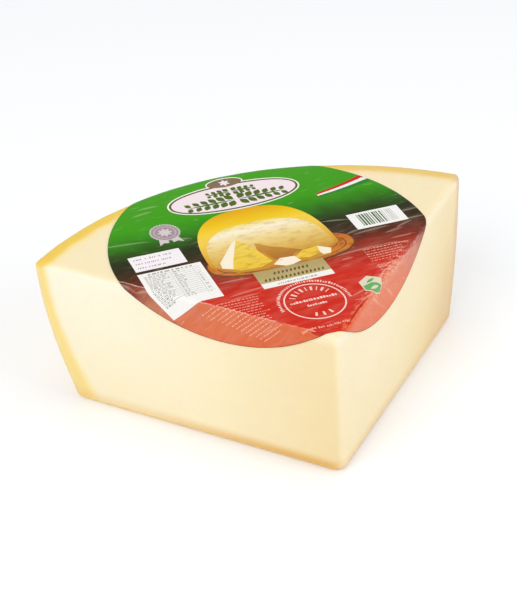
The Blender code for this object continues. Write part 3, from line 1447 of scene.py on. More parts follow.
GROUND_STOPS: Stops = (
    (-99.0, (208, 37, 17)),
    (-44.0, (206, 37, 18)),
    (-36.0, (190, 38, 18)),
    (-28.0, (166, 44, 22)),
    (-20.0, (134, 42, 22)),
    (-12.0, (95, 34, 16)),
    (-4.0, (62, 38, 14)),
    (4.0, (44, 39, 12)),
    (12.0, (35, 45, 10)),
    (20.0, (42, 82, 14)),
    (28.0, (46, 113, 15)),
    (36.0, (53, 141, 13)),
    (45.0, (61, 157, 12)),
    (99.0, (74, 162, 32)),
)
# The ground's print past the folds, painted paler for the glare on the folded film.
FLAP_GLARE_STOPS: Stops = (
    (-99.0, (232, 108, 66)),
    (-60.0, (233, 124, 84)),
    (-45.0, (226, 124, 91)),
    (-30.0, (210, 130, 106)),
    (-20.0, (176, 98, 80)),
    (-13.0, (134, 66, 50)),
    (-2.0, (96, 54, 40)),
    (99.0, (60, 140, 30)),
)

PLAIN_INKS: dict[Ink, Screen] = {
    Ink.OUTLINE: (248, 246, 238),
    Ink.OLIVE: (100, 92, 52),
    Ink.LEAF: (80, 106, 30),
    Ink.MEDAL: (132, 112, 84),
    Ink.SEAL_PALE: (214, 202, 204),
    Ink.RED: (206, 34, 26),
    Ink.WHITE: (244, 242, 236),
    Ink.GREEN: (36, 132, 40),
    Ink.BOARD_EDGE: (112, 58, 20),
    Ink.SHARD_LIGHT: (250, 238, 214),
    Ink.SHARD_DARK: (198, 142, 40),
    Ink.BAND_MARK: (92, 76, 40),
    Ink.STAMP: (250, 210, 198),
    Ink.TABLE_RULE: (168, 166, 158),
    Ink.DATE_MARK: (134, 122, 132),
    Ink.BARS: (76, 108, 70),
    Ink.BADGE: (224, 216, 190),
    Ink.BADGE_GREEN: (100, 172, 92),
    # Painted shadows in the film's folds.
    Ink.FOLD_SHADOW: (188, 30, 12),
    Ink.PUCKER_SHADOW: (178, 88, 68),
}
FINISHES = (
    *(InkFinish(ink, ((0.0, colour),)) for ink, colour in PLAIN_INKS.items()),
    InkFinish(Ink.GROUND, GROUND_STOPS, FLAP_GLARE_STOPS),
    # Painted highlights: the ground's colours under a pale painted sheen.
    InkFinish(Ink.SHEEN, GROUND_STOPS, FLAP_GLARE_STOPS, highlight_share=0.07),
    InkFinish(Ink.GLEAM, GROUND_STOPS, FLAP_GLARE_STOPS, highlight_share=0.24),
    InkFinish(Ink.PLAQUE, ((0.0, (246, 230, 234)),), glint_strength=0.2),
    InkFinish(Ink.SEAL, ((0.0, (166, 148, 154)),), mottle=0.3, mottle_size=2.0, mottle_colour=(110, 92, 100)),
    InkFinish(
        Ink.BOARD,
        ((-32.0, (176, 90, 26)), (-22.0, (206, 124, 38)), (-8.0, (200, 112, 32)), (4.0, (164, 84, 24))),
        mottle=0.7,
        mottle_size=3.2,
        mottle_colour=(130, 62, 18),
    ),
    InkFinish(
        Ink.GOLD,
        (
            (-18.0, (190, 126, 28)),
            (-4.0, (222, 170, 48)),
            (14.0, (244, 204, 80)),
            (24.0, (246, 210, 60)),
            (32.0, (240, 196, 16)),
            (45.0, (228, 166, 6)),
        ),
    ),
    InkFinish(
        Ink.PASTE,
        (
            (-18.0, (196, 142, 48)),
            (-8.0, (220, 176, 76)),
            (4.0, (236, 206, 124)),
            (13.0, (246, 226, 168)),
            (20.0, (252, 242, 214)),
            (25.0, (248, 230, 158)),
            (32.0, (242, 208, 70)),
        ),
        mottle=0.5,
        mottle_size=4.0,
        mottle_colour=(190, 140, 62),
    ),
    InkFinish(Ink.SHADE, ((-20.0, (170, 104, 30)), (12.0, (214, 160, 66)))),
    InkFinish(Ink.SHARD, ((-24.0, (238, 196, 50)), (14.0, (244, 216, 96))), mottle=0.4, mottle_size=3.0),
    InkFinish(Ink.BAND, ((-40.0, (190, 172, 116)), (-26.0, (176, 154, 96)))),
    InkFinish(Ink.TABLE, ((0.0, (246, 244, 240)),), glint_strength=0.1),
    InkFinish(Ink.DATE, ((0.0, (246, 240, 243)),), glint_strength=0.1),
    InkFinish(
        Ink.SMALL, ((0.0, (242, 172, 148)),), mottle=0.7, mottle_size=1.6, mottle_colour=(224, 100, 70)
    ),
)


# ---------- the print


def spot(x: float, y: float) -> Vector:
    """A point of the print, in millimetres."""
    return Vector((x, y))


def oval(
    x: float, y: float, half_width: float, half_height: float, count: int, power: float = 2.0
) -> Loop:
    """A closed oval.

    Args:
        x: The middle's x.
        y: The middle's y.
        half_width: Half of its width.
        half_height: Half of its height.
        count: How many points.
        power: 2 for an ellipse and more for squarer ends.

    Returns:
        The oval's points.
    """
    points = []
    for i in range(count):
        turn = direction(360.0 * i / count)
        across = math.copysign(abs(turn.x) ** (2.0 / power), turn.x)
        up = math.copysign(abs(turn.y) ** (2.0 / power), turn.y)
        points.append(spot(x + half_width * across, y + half_height * up))
    return points


def box(left: float, low: float, right: float, high: float) -> Loop:
    """A rectangle's corners."""
    return [spot(left, low), spot(right, low), spot(right, high), spot(left, high)]


def leaf(foot: Vector, tip: Vector, width: float, steps: int = 6) -> Loop:
    """A pointed leaf from its foot to its tip.

    Args:
        foot: Where it starts.
        tip: Where it ends.
        width: Its width in the middle.
        steps: How many steps its edges have.

    Returns:
        The leaf's outline.
    """
    way = tip - foot
    aside = Vector((-way.y, way.x)).normalized() * width / 2
    edge = [(i / steps, math.sin(math.pi * i / steps)) for i in range(1, steps)]
    one = [foot + way * share + aside * bulge for share, bulge in edge]
    other = [foot + way * share - aside * bulge for share, bulge in reversed(edge)]
    return [foot, *one, tip, *other]


@dataclass(frozen=True)
class Marks:
    """Short bars of uneven length, which stand for a row of small print, in millimetres."""

    tall: float
    size: float
    length_shares: Band = (0.4, 1.5)
    height_shares: Band = (0.7, 1.1)
    gap_shares: Band = (0.28, 0.60)
    least_share: float = 0.4

    def row(self, left: float, right: float, y: float, dice: random.Random) -> list[Loop]:
        """One row of bars.

        Args:
            left: Where the row starts.
            right: Where it ends.
            y: The bars' foot.
            dice: Where the uneven sizes come from.

        Returns:
            The bars from left to right.
        """
        bars, x = [], left
        while x < right - self.size * self.least_share:
            end = min(x + self.size * dice.uniform(*self.length_shares), right)
            bars.append(box(x, y, end, y + self.tall * dice.uniform(*self.height_shares)))
            x = end + self.size * dice.uniform(*self.gap_shares)
        return bars


def fields(ink: Ink, loops: Iterable[Loop]) -> list[Patch]:
    """One field of an ink for each loop."""
    return [Patch(ink, (loop,)) for loop in loops]


@dataclass(frozen=True)
class Sprig:
    """A straight twig with a pair of leaves at each step, whose leaves get smaller outwards."""

    x: float
    y: float
    half_length: float
    pairs: int
    leaf_length: float
    leaf_width: float
    twig_width: float = 1.7
    first_step: float = 0.30
    taper: float = 0.35
    leaf_way: Band = (0.55, 0.83)
    leaf_gap: float = 0.7

    def loops(self) -> list[Loop]:
        """The twig's and the leaves' outlines, mirrored about the middle.

        Returns:
            The outlines, each half of the twig before its leaves.
        """
        step = self.half_length / self.pairs
        loops = []
        for hand in (-1.0, 1.0):
            end = spot(self.x + hand * self.half_length, self.y)
            loops.append(leaf(spot(self.x, self.y), end, self.twig_width))
            for i in range(self.pairs):
                foot = spot(self.x + hand * (i + self.first_step) * step, self.y)
                grown = 1.0 - self.taper * i / self.pairs
                for up in (-1.0, 1.0):
                    reach = spot(hand * self.leaf_way[0], up * self.leaf_way[1]) * self.leaf_length * grown
                    start = foot + spot(0, up * self.leaf_gap)
                    loops.append(leaf(start, foot + reach, self.leaf_width * grown))
        return loops


@dataclass(frozen=True)
class Cartouche:
    """The oval plaque at the top with its sprigs, and the small medallion on its edge."""

    x: float = -0.7
    y: float = 61.0
    half_width: float = 44.2
    half_height: float = 16.4
    outline: float = 1.1
    border: float = 1.5
    power: float = 2.15
    points: int = 96
    sprigs: tuple[Sprig, ...] = (Sprig(-0.7, 56.6, 34.0, 6, 8.4, 5.0), Sprig(-0.7, 67.0, 17.0, 4, 5.2, 3.7))
    medal_y: float = 78.4
    medal_half_width: float = 12.6
    medal_half_height: float = 6.0
    medal_rim: float = 0.9
    medal_points: int = 40
    petals: int = 6
    petal_length: float = 3.8
    petal_width: float = 1.9
    petal_turn: float = 30.0

    def ring(self, inset: float) -> Loop:
        """The plaque's outline, moved inwards."""
        wide, tall = self.half_width - inset, self.half_height - inset
        return oval(self.x, self.y, wide, tall, self.points, self.power)

    def medal_ring(self, inset: float) -> Loop:
        """The medallion's outline, moved inwards."""
        wide, tall = self.medal_half_width - inset, self.medal_half_height - inset
        return oval(self.x, self.medal_y, wide, tall, self.medal_points)

    def patches(self) -> list[Patch]:
        """The plaque's fields of ink.

        Returns:
            The fields, each over those before it.
        """
        hub = spot(self.x, self.medal_y)
        turns = [360.0 / self.petals * i + self.petal_turn for i in range(self.petals)]
        petals = [leaf(hub, hub + direction(turn) * self.petal_length, self.petal_width) for turn in turns]
        return [
            *fields(Ink.OUTLINE, [self.ring(0.0), self.medal_ring(0.0)]),
            *fields(Ink.OLIVE, [self.ring(self.outline)]),
            *fields(Ink.PLAQUE, [self.ring(self.outline + self.border)]),
            *fields(Ink.LEAF, [loop for sprig in self.sprigs for loop in sprig.loops()]),
            *fields(Ink.MEDAL, [self.medal_ring(self.medal_rim)]),
            *fields(Ink.PLAQUE, petals),
        ]


@dataclass(frozen=True)
class Rosette:
    """The round seal with a scalloped edge and two short tails."""

    x: float = -55.8
    y: float = 36.2
    radius: float = 9.8
    lobes: int = 28
    lobe_depth: float = 0.8
    rim: float = 0.9
    rim_depth: float = 0.6
    line_radii: Band = (6.9, 6.5)
    line_points: int = 40
    star_radii: Band = (5.0, 3.0)
    star_points: int = 8
    tail: tuple[Band, ...] = ((0.4, -6.0), (1.4, -12.4), (4.6, -11.6), (7.6, -13.6), (6.0, -6.0))

    def scalloped(self, radius: float, depth: float) -> Loop:
        """A circle with lobes.

        Args:
            radius: The circle's radius at the lobes' crests.
            depth: How far the edge dips between them.

        Returns:
            The edge's points.
        """
        turns = [90.0 * i / self.lobes for i in range(4 * self.lobes)]
        dips = [0.5 - 0.5 * math.cos(math.radians(turn * self.lobes)) for turn in turns]
        middle = spot(self.x, self.y)
        return [middle + direction(turn) * (radius - depth * dip) for turn, dip in zip(turns, dips)]

    def patches(self) -> list[Patch]:
        """The seal's fields of ink.

        Returns:
            The fields, each over those before it.
        """
        tails = [[spot(self.x + hand * x, self.y + y) for x, y in self.tail] for hand in (-1.0, 1.0)]
        turns = [90.0 + 180.0 * i / self.star_points for i in range(2 * self.star_points)]
        middle = spot(self.x, self.y)
        star = [middle + direction(turn) * self.star_radii[i % 2] for i, turn in enumerate(turns)]
        circles = tuple(oval(self.x, self.y, radius, radius, self.line_points) for radius in self.line_radii)
        return [
            *fields(Ink.SEAL_PALE, [*tails, self.scalloped(self.radius, self.lobe_depth)]),
            *fields(Ink.SEAL, [self.scalloped(self.radius - self.rim, self.rim_depth)]),
            Patch(Ink.SEAL_PALE, circles),
            *fields(Ink.SEAL_PALE, [star]),
        ]


@dataclass(frozen=True)
class Tricolour:
    """Three brush strokes in red, white and green that run off the film's edge."""

    start: Band = (47.6, 44.0)
    end: Band = (90.0, 58.0)
    sag: float = 0.9
    thin: float = 1.6
    thick: float = 3.6
    steps: int = 14

    def line(self, share: float, rank: float) -> Vector:
        """A point along the strokes.

        Args:
            share: How far along, from 0 to 1.
            rank: How many widths below the red stroke's upper edge.

        Returns:
            The point.
        """
        start, end = spot(*self.start), spot(*self.end)
        way = (end - start).normalized()
        aside = Vector((way.y, -way.x))
        width = self.thin + (self.thick - self.thin) * share
        dip = self.sag * math.sin(math.pi * share)
        return start.lerp(end, share) + aside * (rank * width + dip)

    def patches(self) -> list[Patch]:
        """The three strokes.

        Returns:
            One field for each.
        """
        shares = [i / self.steps for i in range(self.steps + 1)]
        strokes = []
        for rank, ink in enumerate((Ink.RED, Ink.WHITE, Ink.GREEN)):
            upper = [self.line(share, rank) for share in shares]
            lower = [self.line(share, rank + 1.0) for share in reversed(shares)]
            strokes.append(Patch(ink, (upper + lower,)))
        return strokes


@dataclass(frozen=True)
class StillLife:
    """The picture: half a wheel that stands on its cut on an oval board, with broken shards."""

    board_x: float = 0.7
    board_y: float = -14.0
    board_half_width: float = 47.8
    board_half_height: float = 16.6
    board_slant: float = 0.7
    board_power: float = 2.3
    board_rim: float = 1.2
    board_lift: float = 1.0
    board_points: int = 72
    grooves: tuple[Band, ...] = ((6.0, 6.7), (12.0, 12.6))
    wheel_x: float = -2.7
    wheel_foot: float = -11.0
    wheel_half_width: float = 41.2
    wheel_height: float = 55.6
    wheel_belly: float = 8.0
    wheel_power: float = 2.7
    belly_power: float = 2.4
    rind_top: float = 17.0
    rind_side: float = 2.6
    arch_points: int = 48
    shards: tuple[tuple[Ink, tuple[Band, ...]], ...] = (
        (Ink.SHADE, ((-30, -20), (-14, -17), (2, -18), (18, -16), (8, -9), (-2, -3), (-10, 4), (-12, -8))),
        (Ink.SHARD_DARK, ((-39, -14), (-31, -23), (-13, -25), (-4, -21), (-8, -8), (-24, -4))),
        (Ink.SHARD, ((-36, -14), (-29, -21), (-16, -22), (-7, -18), (-12, -2), (-19, 12), (-26, 2))),
        (Ink.SHARD_LIGHT, ((-19, 12), (-23, 9), (-37, -9), (-38, -15), (-32, -18), (-30, -12))),
        (Ink.SHARD_DARK, ((4, -23), (14, -26), (28, -24), (31, -18), (20, -12), (8, -15))),
        (Ink.SHARD, ((6, -20), (14, -14), (24, -13), (23, -20), (15, -23))),
        (Ink.SHARD_LIGHT, ((23, -20), (24, -13), (31, -18), (29, -23), (24, -23))),
        (Ink.SHARD_LIGHT, ((-8, -22), (-2, -17), (7, -18), (9, -24), (0, -27))),
    )

    def arch(self, inset: float, top_inset: float) -> Loop:
        """The half wheel's outline, with square shoulders and a rounded foot.

        Args:
            inset: How far its sides are moved inwards.
            top_inset: How far its top is moved down.

        Returns:
            The outline's points.
        """
        wide, tall = self.wheel_half_width - inset, self.wheel_height - top_inset
        count = 2 * self.arch_points
        domed = oval(self.wheel_x, self.wheel_foot, wide, tall, count, self.wheel_power)
        bellied = oval(self.wheel_x, self.wheel_foot, wide, self.wheel_belly, count, self.belly_power)
        return domed[: self.arch_points + 1] + bellied[self.arch_points + 1 :]

    def board_ring(self, inset: float) -> Loop:
        """The board's outline, moved inwards."""
        wide, tall = self.board_half_width - inset, self.board_half_height - self.board_slant * inset
        return oval(self.board_x, self.board_y, wide, tall, self.board_points, self.board_power)

    def patches(self) -> list[Patch]:
        """The picture's fields of ink, from the board to the shards.

        Returns:
            The fields, each over those before it.
        """
        board_top = [point + spot(0.0, self.board_lift) for point in self.board_ring(self.board_rim)]
        grooves = [tuple(self.board_ring(inset) for inset in pair) for pair in self.grooves]
        return [
            *fields(Ink.BOARD_EDGE, [self.board_ring(0.0)]),
            *fields(Ink.BOARD, [board_top]),
            *[Patch(Ink.BOARD_EDGE, groove) for groove in grooves],
            *fields(Ink.GOLD, [self.arch(0.0, 0.0)]),
            *fields(Ink.PASTE, [self.arch(self.rind_side, self.rind_top)]),
            *[Patch(ink, ([spot(*corner) for corner in corners],)) for ink, corners in self.shards],
        ]


@dataclass(frozen=True)
class NameBand:
    """The khaki band under the picture with two rows of lozenges, and its white foot."""

    seed: int = 7
    left: float = -23.3
    right: float = 21.7
    top: float = -26.0
    foot: float = -39.4
    low: float = -44.6
    pitch: float = 2.6
    rows: tuple[tuple[int, float], ...] = ((4, -31.0), (7, -36.6))
    lozenge: Band = (0.6, 1.7)
    lozenge_width: float = 1.5
    foot_half: float = 13.0
    foot_y: float = -42.9
    foot_marks: Marks = Marks(1.5, 1.5)

    def patches(self) -> list[Patch]:
        """The band's fields of ink.

        Returns:
            The fields, each over those before it.
        """
        middle = (self.left + self.right) / 2
        reach = spot(*self.lozenge)
        places = [(i, y) for count, y in self.rows for i in range(-count, count + 1)]
        hubs = [spot(middle + i * self.pitch, y) for i, y in places]
        ends = (middle - self.foot_half, middle + self.foot_half)
        return [
            *fields(Ink.BAND, [box(self.left, self.foot, self.right, self.top)]),
            *fields(Ink.WHITE, [box(self.left, self.low, self.right, self.foot)]),
            *fields(Ink.BAND_MARK, [leaf(hub - reach, hub + reach, self.lozenge_width, 4) for hub in hubs]),
            *fields(Ink.TABLE_RULE, self.foot_marks.row(*ends, self.foot_y, random.Random(self.seed))),
        ]


@dataclass(frozen=True)
class Stamp:
    """The white ring with a dotted arch round it and plain marks inside. Angles are in degrees."""

    seed: int = 11
    x: float = -1.0
    y: float = -67.0
    radius: float = 18.3
    line: float = 0.95
    points: int = 96
    arch_radius: float = 20.3
    arch_span: Band = (-8.0, 188.0)
    arch_half_turns: Band = (0.7, 1.7)
    arch_heights: Band = (1.3, 2.1)
    arch_gaps: Band = (1.4, 2.6)
    upper_turns: range = range(35, 160, 14)
    upper_radii: Band = (11.4, 15.2)
    upper_half_turns: Band = (1.3, 3.0)
    lower_turns: tuple[int, ...] = (250, 270, 290)
    lower_radii: Band = (11.4, 15.0)
    lower_half_turn: float = 2.8
    rows: tuple[Band, ...] = ((14.5, 1.2), (6.0, -4.0))
    marks: Marks = Marks(2.0, 1.1)

    def block(self, angle: float, radii: Band, half_turn: float) -> Loop:
        """A short bar across the radius.

        Args:
            angle: Where it is on the ring.
            radii: Its inner and outer radius.
            half_turn: Half of the angle that it covers.

        Returns:
            The bar's corners.
        """
        middle = spot(self.x, self.y)
        low, high = direction(angle - half_turn), direction(angle + half_turn)
        inner, outer = radii
        return [middle + low * inner, middle + low * outer, middle + high * outer, middle + high * inner]

    def patches(self) -> list[Patch]:
        """The stamp's fields of ink.

        Returns:
            The ring, the bars and the rows of marks.
        """
        dice = random.Random(self.seed)
        radii = (self.radius, self.radius - self.line)
        ring = Patch(Ink.STAMP, tuple(oval(self.x, self.y, radius, radius, self.points) for radius in radii))
        angle, end = self.arch_span
        bars = []
        while angle < end:
            half = dice.uniform(*self.arch_half_turns)
            outer = self.arch_radius + dice.uniform(*self.arch_heights)
            bars.append(self.block(angle + half, (self.arch_radius, outer), half))
            angle += 2 * half + dice.uniform(*self.arch_gaps)
        for i, turn in enumerate(self.upper_turns):
            bars.append(self.block(turn, self.upper_radii, self.upper_half_turns[i % 2]))
        bars += [self.block(turn, self.lower_radii, self.lower_half_turn) for turn in self.lower_turns]
        for half, rise in self.rows:
            bars += self.marks.row(self.x - half, self.x + half, self.y + rise, dice)
        return [ring, *fields(Ink.STAMP, bars)]


@dataclass(frozen=True)
class FactsTable:
    """The pale table panel with its thin rules and columns."""

    seed: int = 3
    left: float = -87.0
    right: float = -47.4
    top: float = -2.7
    low: float = -42.2
    head: float = 3.6
    head_margin: float = 6.0
    head_foot: float = 2.8
    head_marks: Marks = Marks(1.5, 2.4)
    margin: float = 1.6
    row_pitch: float = 2.05
    rows: int = 14
    rule: float = 0.28
    rule_ends: Band = (0.9, 0.5)
    column_top: float = 3.4
    columns: Band = (-68.0, -54.0)
    row_margins: Band = (1.4, 1.0)
    row_foot: float = 1.45
    row_marks: Marks = Marks(0.8, 1.8)
    filled: float = 0.9
    fullness: tuple[float, ...] = (0.95, 0.5, 0.8)
    least_full: float = 0.5

    def patches(self) -> list[Patch]:
        """The table's fields of ink.

        Returns:
            The panel, its rules and its rows of marks.
        """
        dice = random.Random(self.seed)
        head = self.top - self.head
        foot, upper = head - self.rows * self.row_pitch, self.top - self.column_top
        rules = [box(x, foot, x + self.rule, upper) for x in self.columns]
        ends = (self.left + self.head_margin, self.right - self.head_margin)
        marks = self.head_marks.row(*ends, self.top - self.head_foot, dice)
        edges = (self.left + self.margin, *self.columns, self.right - self.margin)
        for i in range(self.rows):
            y = head - i * self.row_pitch
            for start, end, full in zip(edges, edges[1:], self.fullness):
                rules.append(box(start + self.rule_ends[0], y - self.rule, end - self.rule_ends[1], y))
                if dice.random() < self.filled:
                    first = start + self.row_margins[0]
                    reach = (end - start - sum(self.row_margins)) * full * dice.uniform(self.least_full, 1.0)
                    marks += self.row_marks.row(first, first + reach, y - self.row_foot, dice)
        panel = box(self.left, self.low, self.right, self.top)
        return [*fields(Ink.TABLE, [panel]), *fields(Ink.TABLE_RULE, rules + marks)]


@dataclass(frozen=True)
class DatePanel:
    """The small white panel with three rows of leaning pen strokes."""

    seed: int = 5
    left: float = -86.6
    right: float = -54.2
    top: float = 16.5
    low: float = 0.1
    margin: float = 2.6
    rows: tuple[Band, ...] = ((11.8, -60.0), (7.2, -60.5), (2.6, -67.0))
    stroke: float = 1.9
    stroke_width: float = 0.55
    leans: Band = (0.2, 1.0)
    gaps: tuple[float, ...] = (0.9, 1.1, 1.4, 2.6)

    def patches(self) -> list[Patch]:
        """The panel's fields of ink.

        Returns:
            The panel and its strokes.
        """
        dice = random.Random(self.seed)
        strokes = []
        for y, end in self.rows:
            x = self.left + self.margin
            while x < end:
                top = spot(x + dice.uniform(*self.leans), y + self.stroke)
                strokes.append(leaf(spot(x, y), top, self.stroke_width, 4))
                x += dice.choice(self.gaps)
        panel = box(self.left, self.low, self.right, self.top)
        return [*fields(Ink.DATE, [panel]), *fields(Ink.DATE_MARK, strokes)]


@dataclass(frozen=True)
class BarBox:
    """The white box of upright bars, bold on the left and fine on the right, where a paler ink paints the
    glare that washes them out.
    """

    seed: int = 21
    left: float = 54.7
    right: float = 89.2
    top: float = 12.8
    low: float = -5.6
    quiet: float = 5.6
    head: float = 2.2
    foot: float = 2.6
    bold_share: float = 0.62
    bold_widths: tuple[float, ...] = (0.6, 0.9, 1.3)
    bold_gaps: tuple[float, ...] = (0.5, 0.7, 1.0)
    fine_widths: tuple[float, ...] = (0.3, 0.4, 0.5)
    fine_gaps: tuple[float, ...] = (0.7, 0.9, 1.4)

    def patches(self) -> list[Patch]:
        """The box's fields of ink.

        Returns:
            The box and its bars.
        """
        dice = random.Random(self.seed)
        found = fields(Ink.TABLE, [box(self.left, self.low, self.right, self.top)])
        x = self.left + self.quiet
        while x < self.right - self.quiet:
            bold = x < self.left + self.bold_share * (self.right - self.left)
            wide = dice.choice(self.bold_widths if bold else self.fine_widths)
            bar = box(x, self.low + self.foot, x + wide, self.top - self.head)
            # The fine bars on the right take the paler TABLE_RULE ink as painted glare.
            found += fields(Ink.BARS if bold else Ink.TABLE_RULE, [bar])
            x += wide + dice.choice(self.bold_gaps if bold else self.fine_gaps)
        return found


@dataclass(frozen=True)
class LeafBadge:
    """The little shield by the right fold: pale above, green below, with a leaf on each half."""

    x: float = 37.6
    half_width: float = 7.1
    low: float = -69.7
    peak: float = 1.3
    shoulder: float = -58.4
    top: float = -53.8
    border: float = 0.7
    green_shoulder: float = -63.2
    green_top: float = -61.4
    leaves: tuple[tuple[Ink, Band, Band, float], ...] = (
        (Ink.BADGE_GREEN, (-3.2, -60.9), (3.2, -57.4), 2.4),
        (Ink.BADGE, (-3.4, -67.2), (3.4, -64.0), 2.0),
    )

    def shield(self, inset: float, shoulder: float, top: float) -> Loop:
        """A box with a peak at the top and at the foot.

        Args:
            inset: How far its sides and its foot are moved inwards.
            shoulder: The height of its shoulders.
            top: The height of its peak.

        Returns:
            The outline's points.
        """
        wide, low = self.half_width - inset, self.low + inset
        left, right = self.x - wide, self.x + wide
        upper = [spot(left, shoulder), spot(self.x, top), spot(right, shoulder)]
        return upper + [spot(right, low + self.peak), spot(self.x, low), spot(left, low + self.peak)]

    def patches(self) -> list[Patch]:
        """The badge's fields of ink.

        Returns:
            The two halves and their leaves.
        """
        found = fields(Ink.BADGE, [self.shield(0.0, self.shoulder, self.top)])
        found += fields(Ink.BADGE_GREEN, [self.shield(self.border, self.green_shoulder, self.green_top)])
        for ink, foot, tip, width in self.leaves:
            start, end = (spot(self.x + x, y) for x, y in (foot, tip))
            found += fields(ink, [leaf(start, end, width)])
        return found


@dataclass(frozen=True)
class SmallPrint:
    """The blocks of fine pale marks on both flaps and at the tip."""

    seed: int = 13
    pitch: float = 2.55
    marks: Marks = Marks(0.75, 1.5)
    left_rows: int = 14
    left_start: tuple[float, float, float] = (-68.0, 1.65, 2.0)
    left_end: tuple[float, float, float] = (-27.0, -1.4, -3.0)
    left_top: float = -50.0
    left_cycle: int = 3
    right_rows: int = 6
    right_start: float = 47.4
    right_end: tuple[float, float, float] = (78.0, -2.0, -5.0)
    right_top: float = -28.4
    last_rows: int = 3
    last_start: float = 48.4
    last_end: Band = (66.0, -3.0)
    last_top: float = -46.4
    tip_starts: range = range(-20, 10, 5)
    tip_length: float = 4.4
    tip_middle: float = -5.0
    tip_y: float = -93.4
    tip_rise: float = 0.08
    tip_marks: Marks = Marks(1.7, 0.9)

    def uneven(self, end: tuple[float, float, float], count: int, dice: random.Random) -> float:
        """Where a row starts or ends: a first place, a step for each row, and how far it may stray."""
        first, step, stray = end
        return first + count * step + math.copysign(dice.uniform(0.0, abs(stray)), stray)

    def patches(self) -> list[Patch]:
        """The rows of marks.

        Returns:
            One field for each mark.
        """
        dice = random.Random(self.seed)
        bars: list[Loop] = []
        for i in range(self.left_rows):
            left = self.uneven(self.left_start, i, dice)
            right = self.uneven(self.left_end, i % self.left_cycle, dice)
            bars += self.marks.row(left, right, self.left_top - i * self.pitch, dice)
        for i in range(self.right_rows):
            right = self.uneven(self.right_end, i, dice)
            bars += self.marks.row(self.right_start, right, self.right_top - i * self.pitch, dice)
        for i in range(self.last_rows):
            right = self.last_end[0] + i * self.last_end[1]
            bars += self.marks.row(self.last_start, right, self.last_top - i * self.pitch, dice)
        for left in self.tip_starts:
            y = self.tip_y + self.tip_rise * abs(left - self.tip_middle)
            bars += self.tip_marks.row(left, left + self.tip_length, y, dice)
        return fields(Ink.SMALL, bars)


@dataclass(frozen=True)
class FoldShadows:
    """Painted shadows: dark slivers in the film's folds, by the tip and at the left flap's pucker."""

    strokes: tuple[tuple[Ink, Crease, float], ...] = (
        (Ink.FOLD_SHADOW, Crease(-11.2, -96.0, 9.5, -30.0, bow=-0.10), 2.6),
        (Ink.FOLD_SHADOW, Crease(17.8, -85.4, 36.0, 43.8, bow=0.03), 1.1),
        (Ink.PUCKER_SHADOW, Crease(-94.6, -15.2, 7.5, -72.0, bow=0.06), 1.6),
        (Ink.PUCKER_SHADOW, Crease(-89.0, -42.4, 8.5, -28.0, bow=-0.06), 1.5),
    )

    def patches(self) -> list[Patch]:
        """The painted shadow slivers."""
        return [Patch(ink, (crease.sliver(wide),)) for ink, crease, wide in self.strokes]


@dataclass(frozen=True)
class CreaseGlints:
    """Painted highlights on the film's creases and short painted glints between them, in millimetres and
    degrees.
    """

    creases: tuple[Crease, ...]
    seed: int = 17
    sheen_width: float = 2.6
    gleam_width: float = 0.75
    scuffs: int = 90
    reach: float = 95.0
    lengths: Band = (2.5, 9.0)
    turn: float = 4.0
    turn_stray: float = 8.0
    bows: Band = (-0.06, 0.06)
    widths: Band = (0.35, 0.8)
    inks: tuple[Ink, ...] = (Ink.SHEEN, Ink.SHEEN, Ink.GLEAM)

    def patches(self) -> list[Patch]:
        """A broad faint painted highlight and a thin bright one on each crease, and short painted glints
        between them.

        Returns:
            The painted highlights and glints, each over those before it.
        """
        dice = random.Random(self.seed)
        found = []
        for crease in self.creases:
            found += fields(Ink.SHEEN, [crease.sliver(self.sheen_width)])
            found += fields(Ink.GLEAM, [crease.sliver(self.gleam_width)])
        for _ in range(self.scuffs):
            middle = direction(dice.uniform(0.0, 360.0)) * self.reach * math.sqrt(dice.random())
            length, turn = dice.uniform(*self.lengths), dice.gauss(self.turn, self.turn_stray)
            glint = Crease(*middle, length, turn, bow=dice.uniform(*self.bows))
            ink = dice.choice(self.inks)
            found += fields(ink, [glint.sliver(dice.uniform(*self.widths), 4)])
        return found


# ---------- the studio


@dataclass(frozen=True)
class Lamp:
    """A soft rectangular light that looks at the block."""

    name: str
    place: tuple[float, float, float]
    size: tuple[float, float]
    power: float
    colour: tuple[float, float, float] = (1.0, 1.0, 1.0)

    def build(self, target: Vector) -> bpy.types.Object:
        """The light, turned towards a target.

        Args:
            target: The point that it looks at.

        Returns:
            The light's object.
        """
        data = bpy.data.lights.new(self.name, "AREA")
        data.shape, data.size, data.size_y = "RECTANGLE", *self.size
        data.energy, data.color = self.power, self.colour
        lamp = bpy.data.objects.new(self.name, data)
        bpy.context.scene.collection.objects.link(lamp)
        lamp.location = self.place
        lamp.rotation_euler = (target - Vector(self.place)).to_track_quat("-Z", "Y").to_euler()
        return lamp


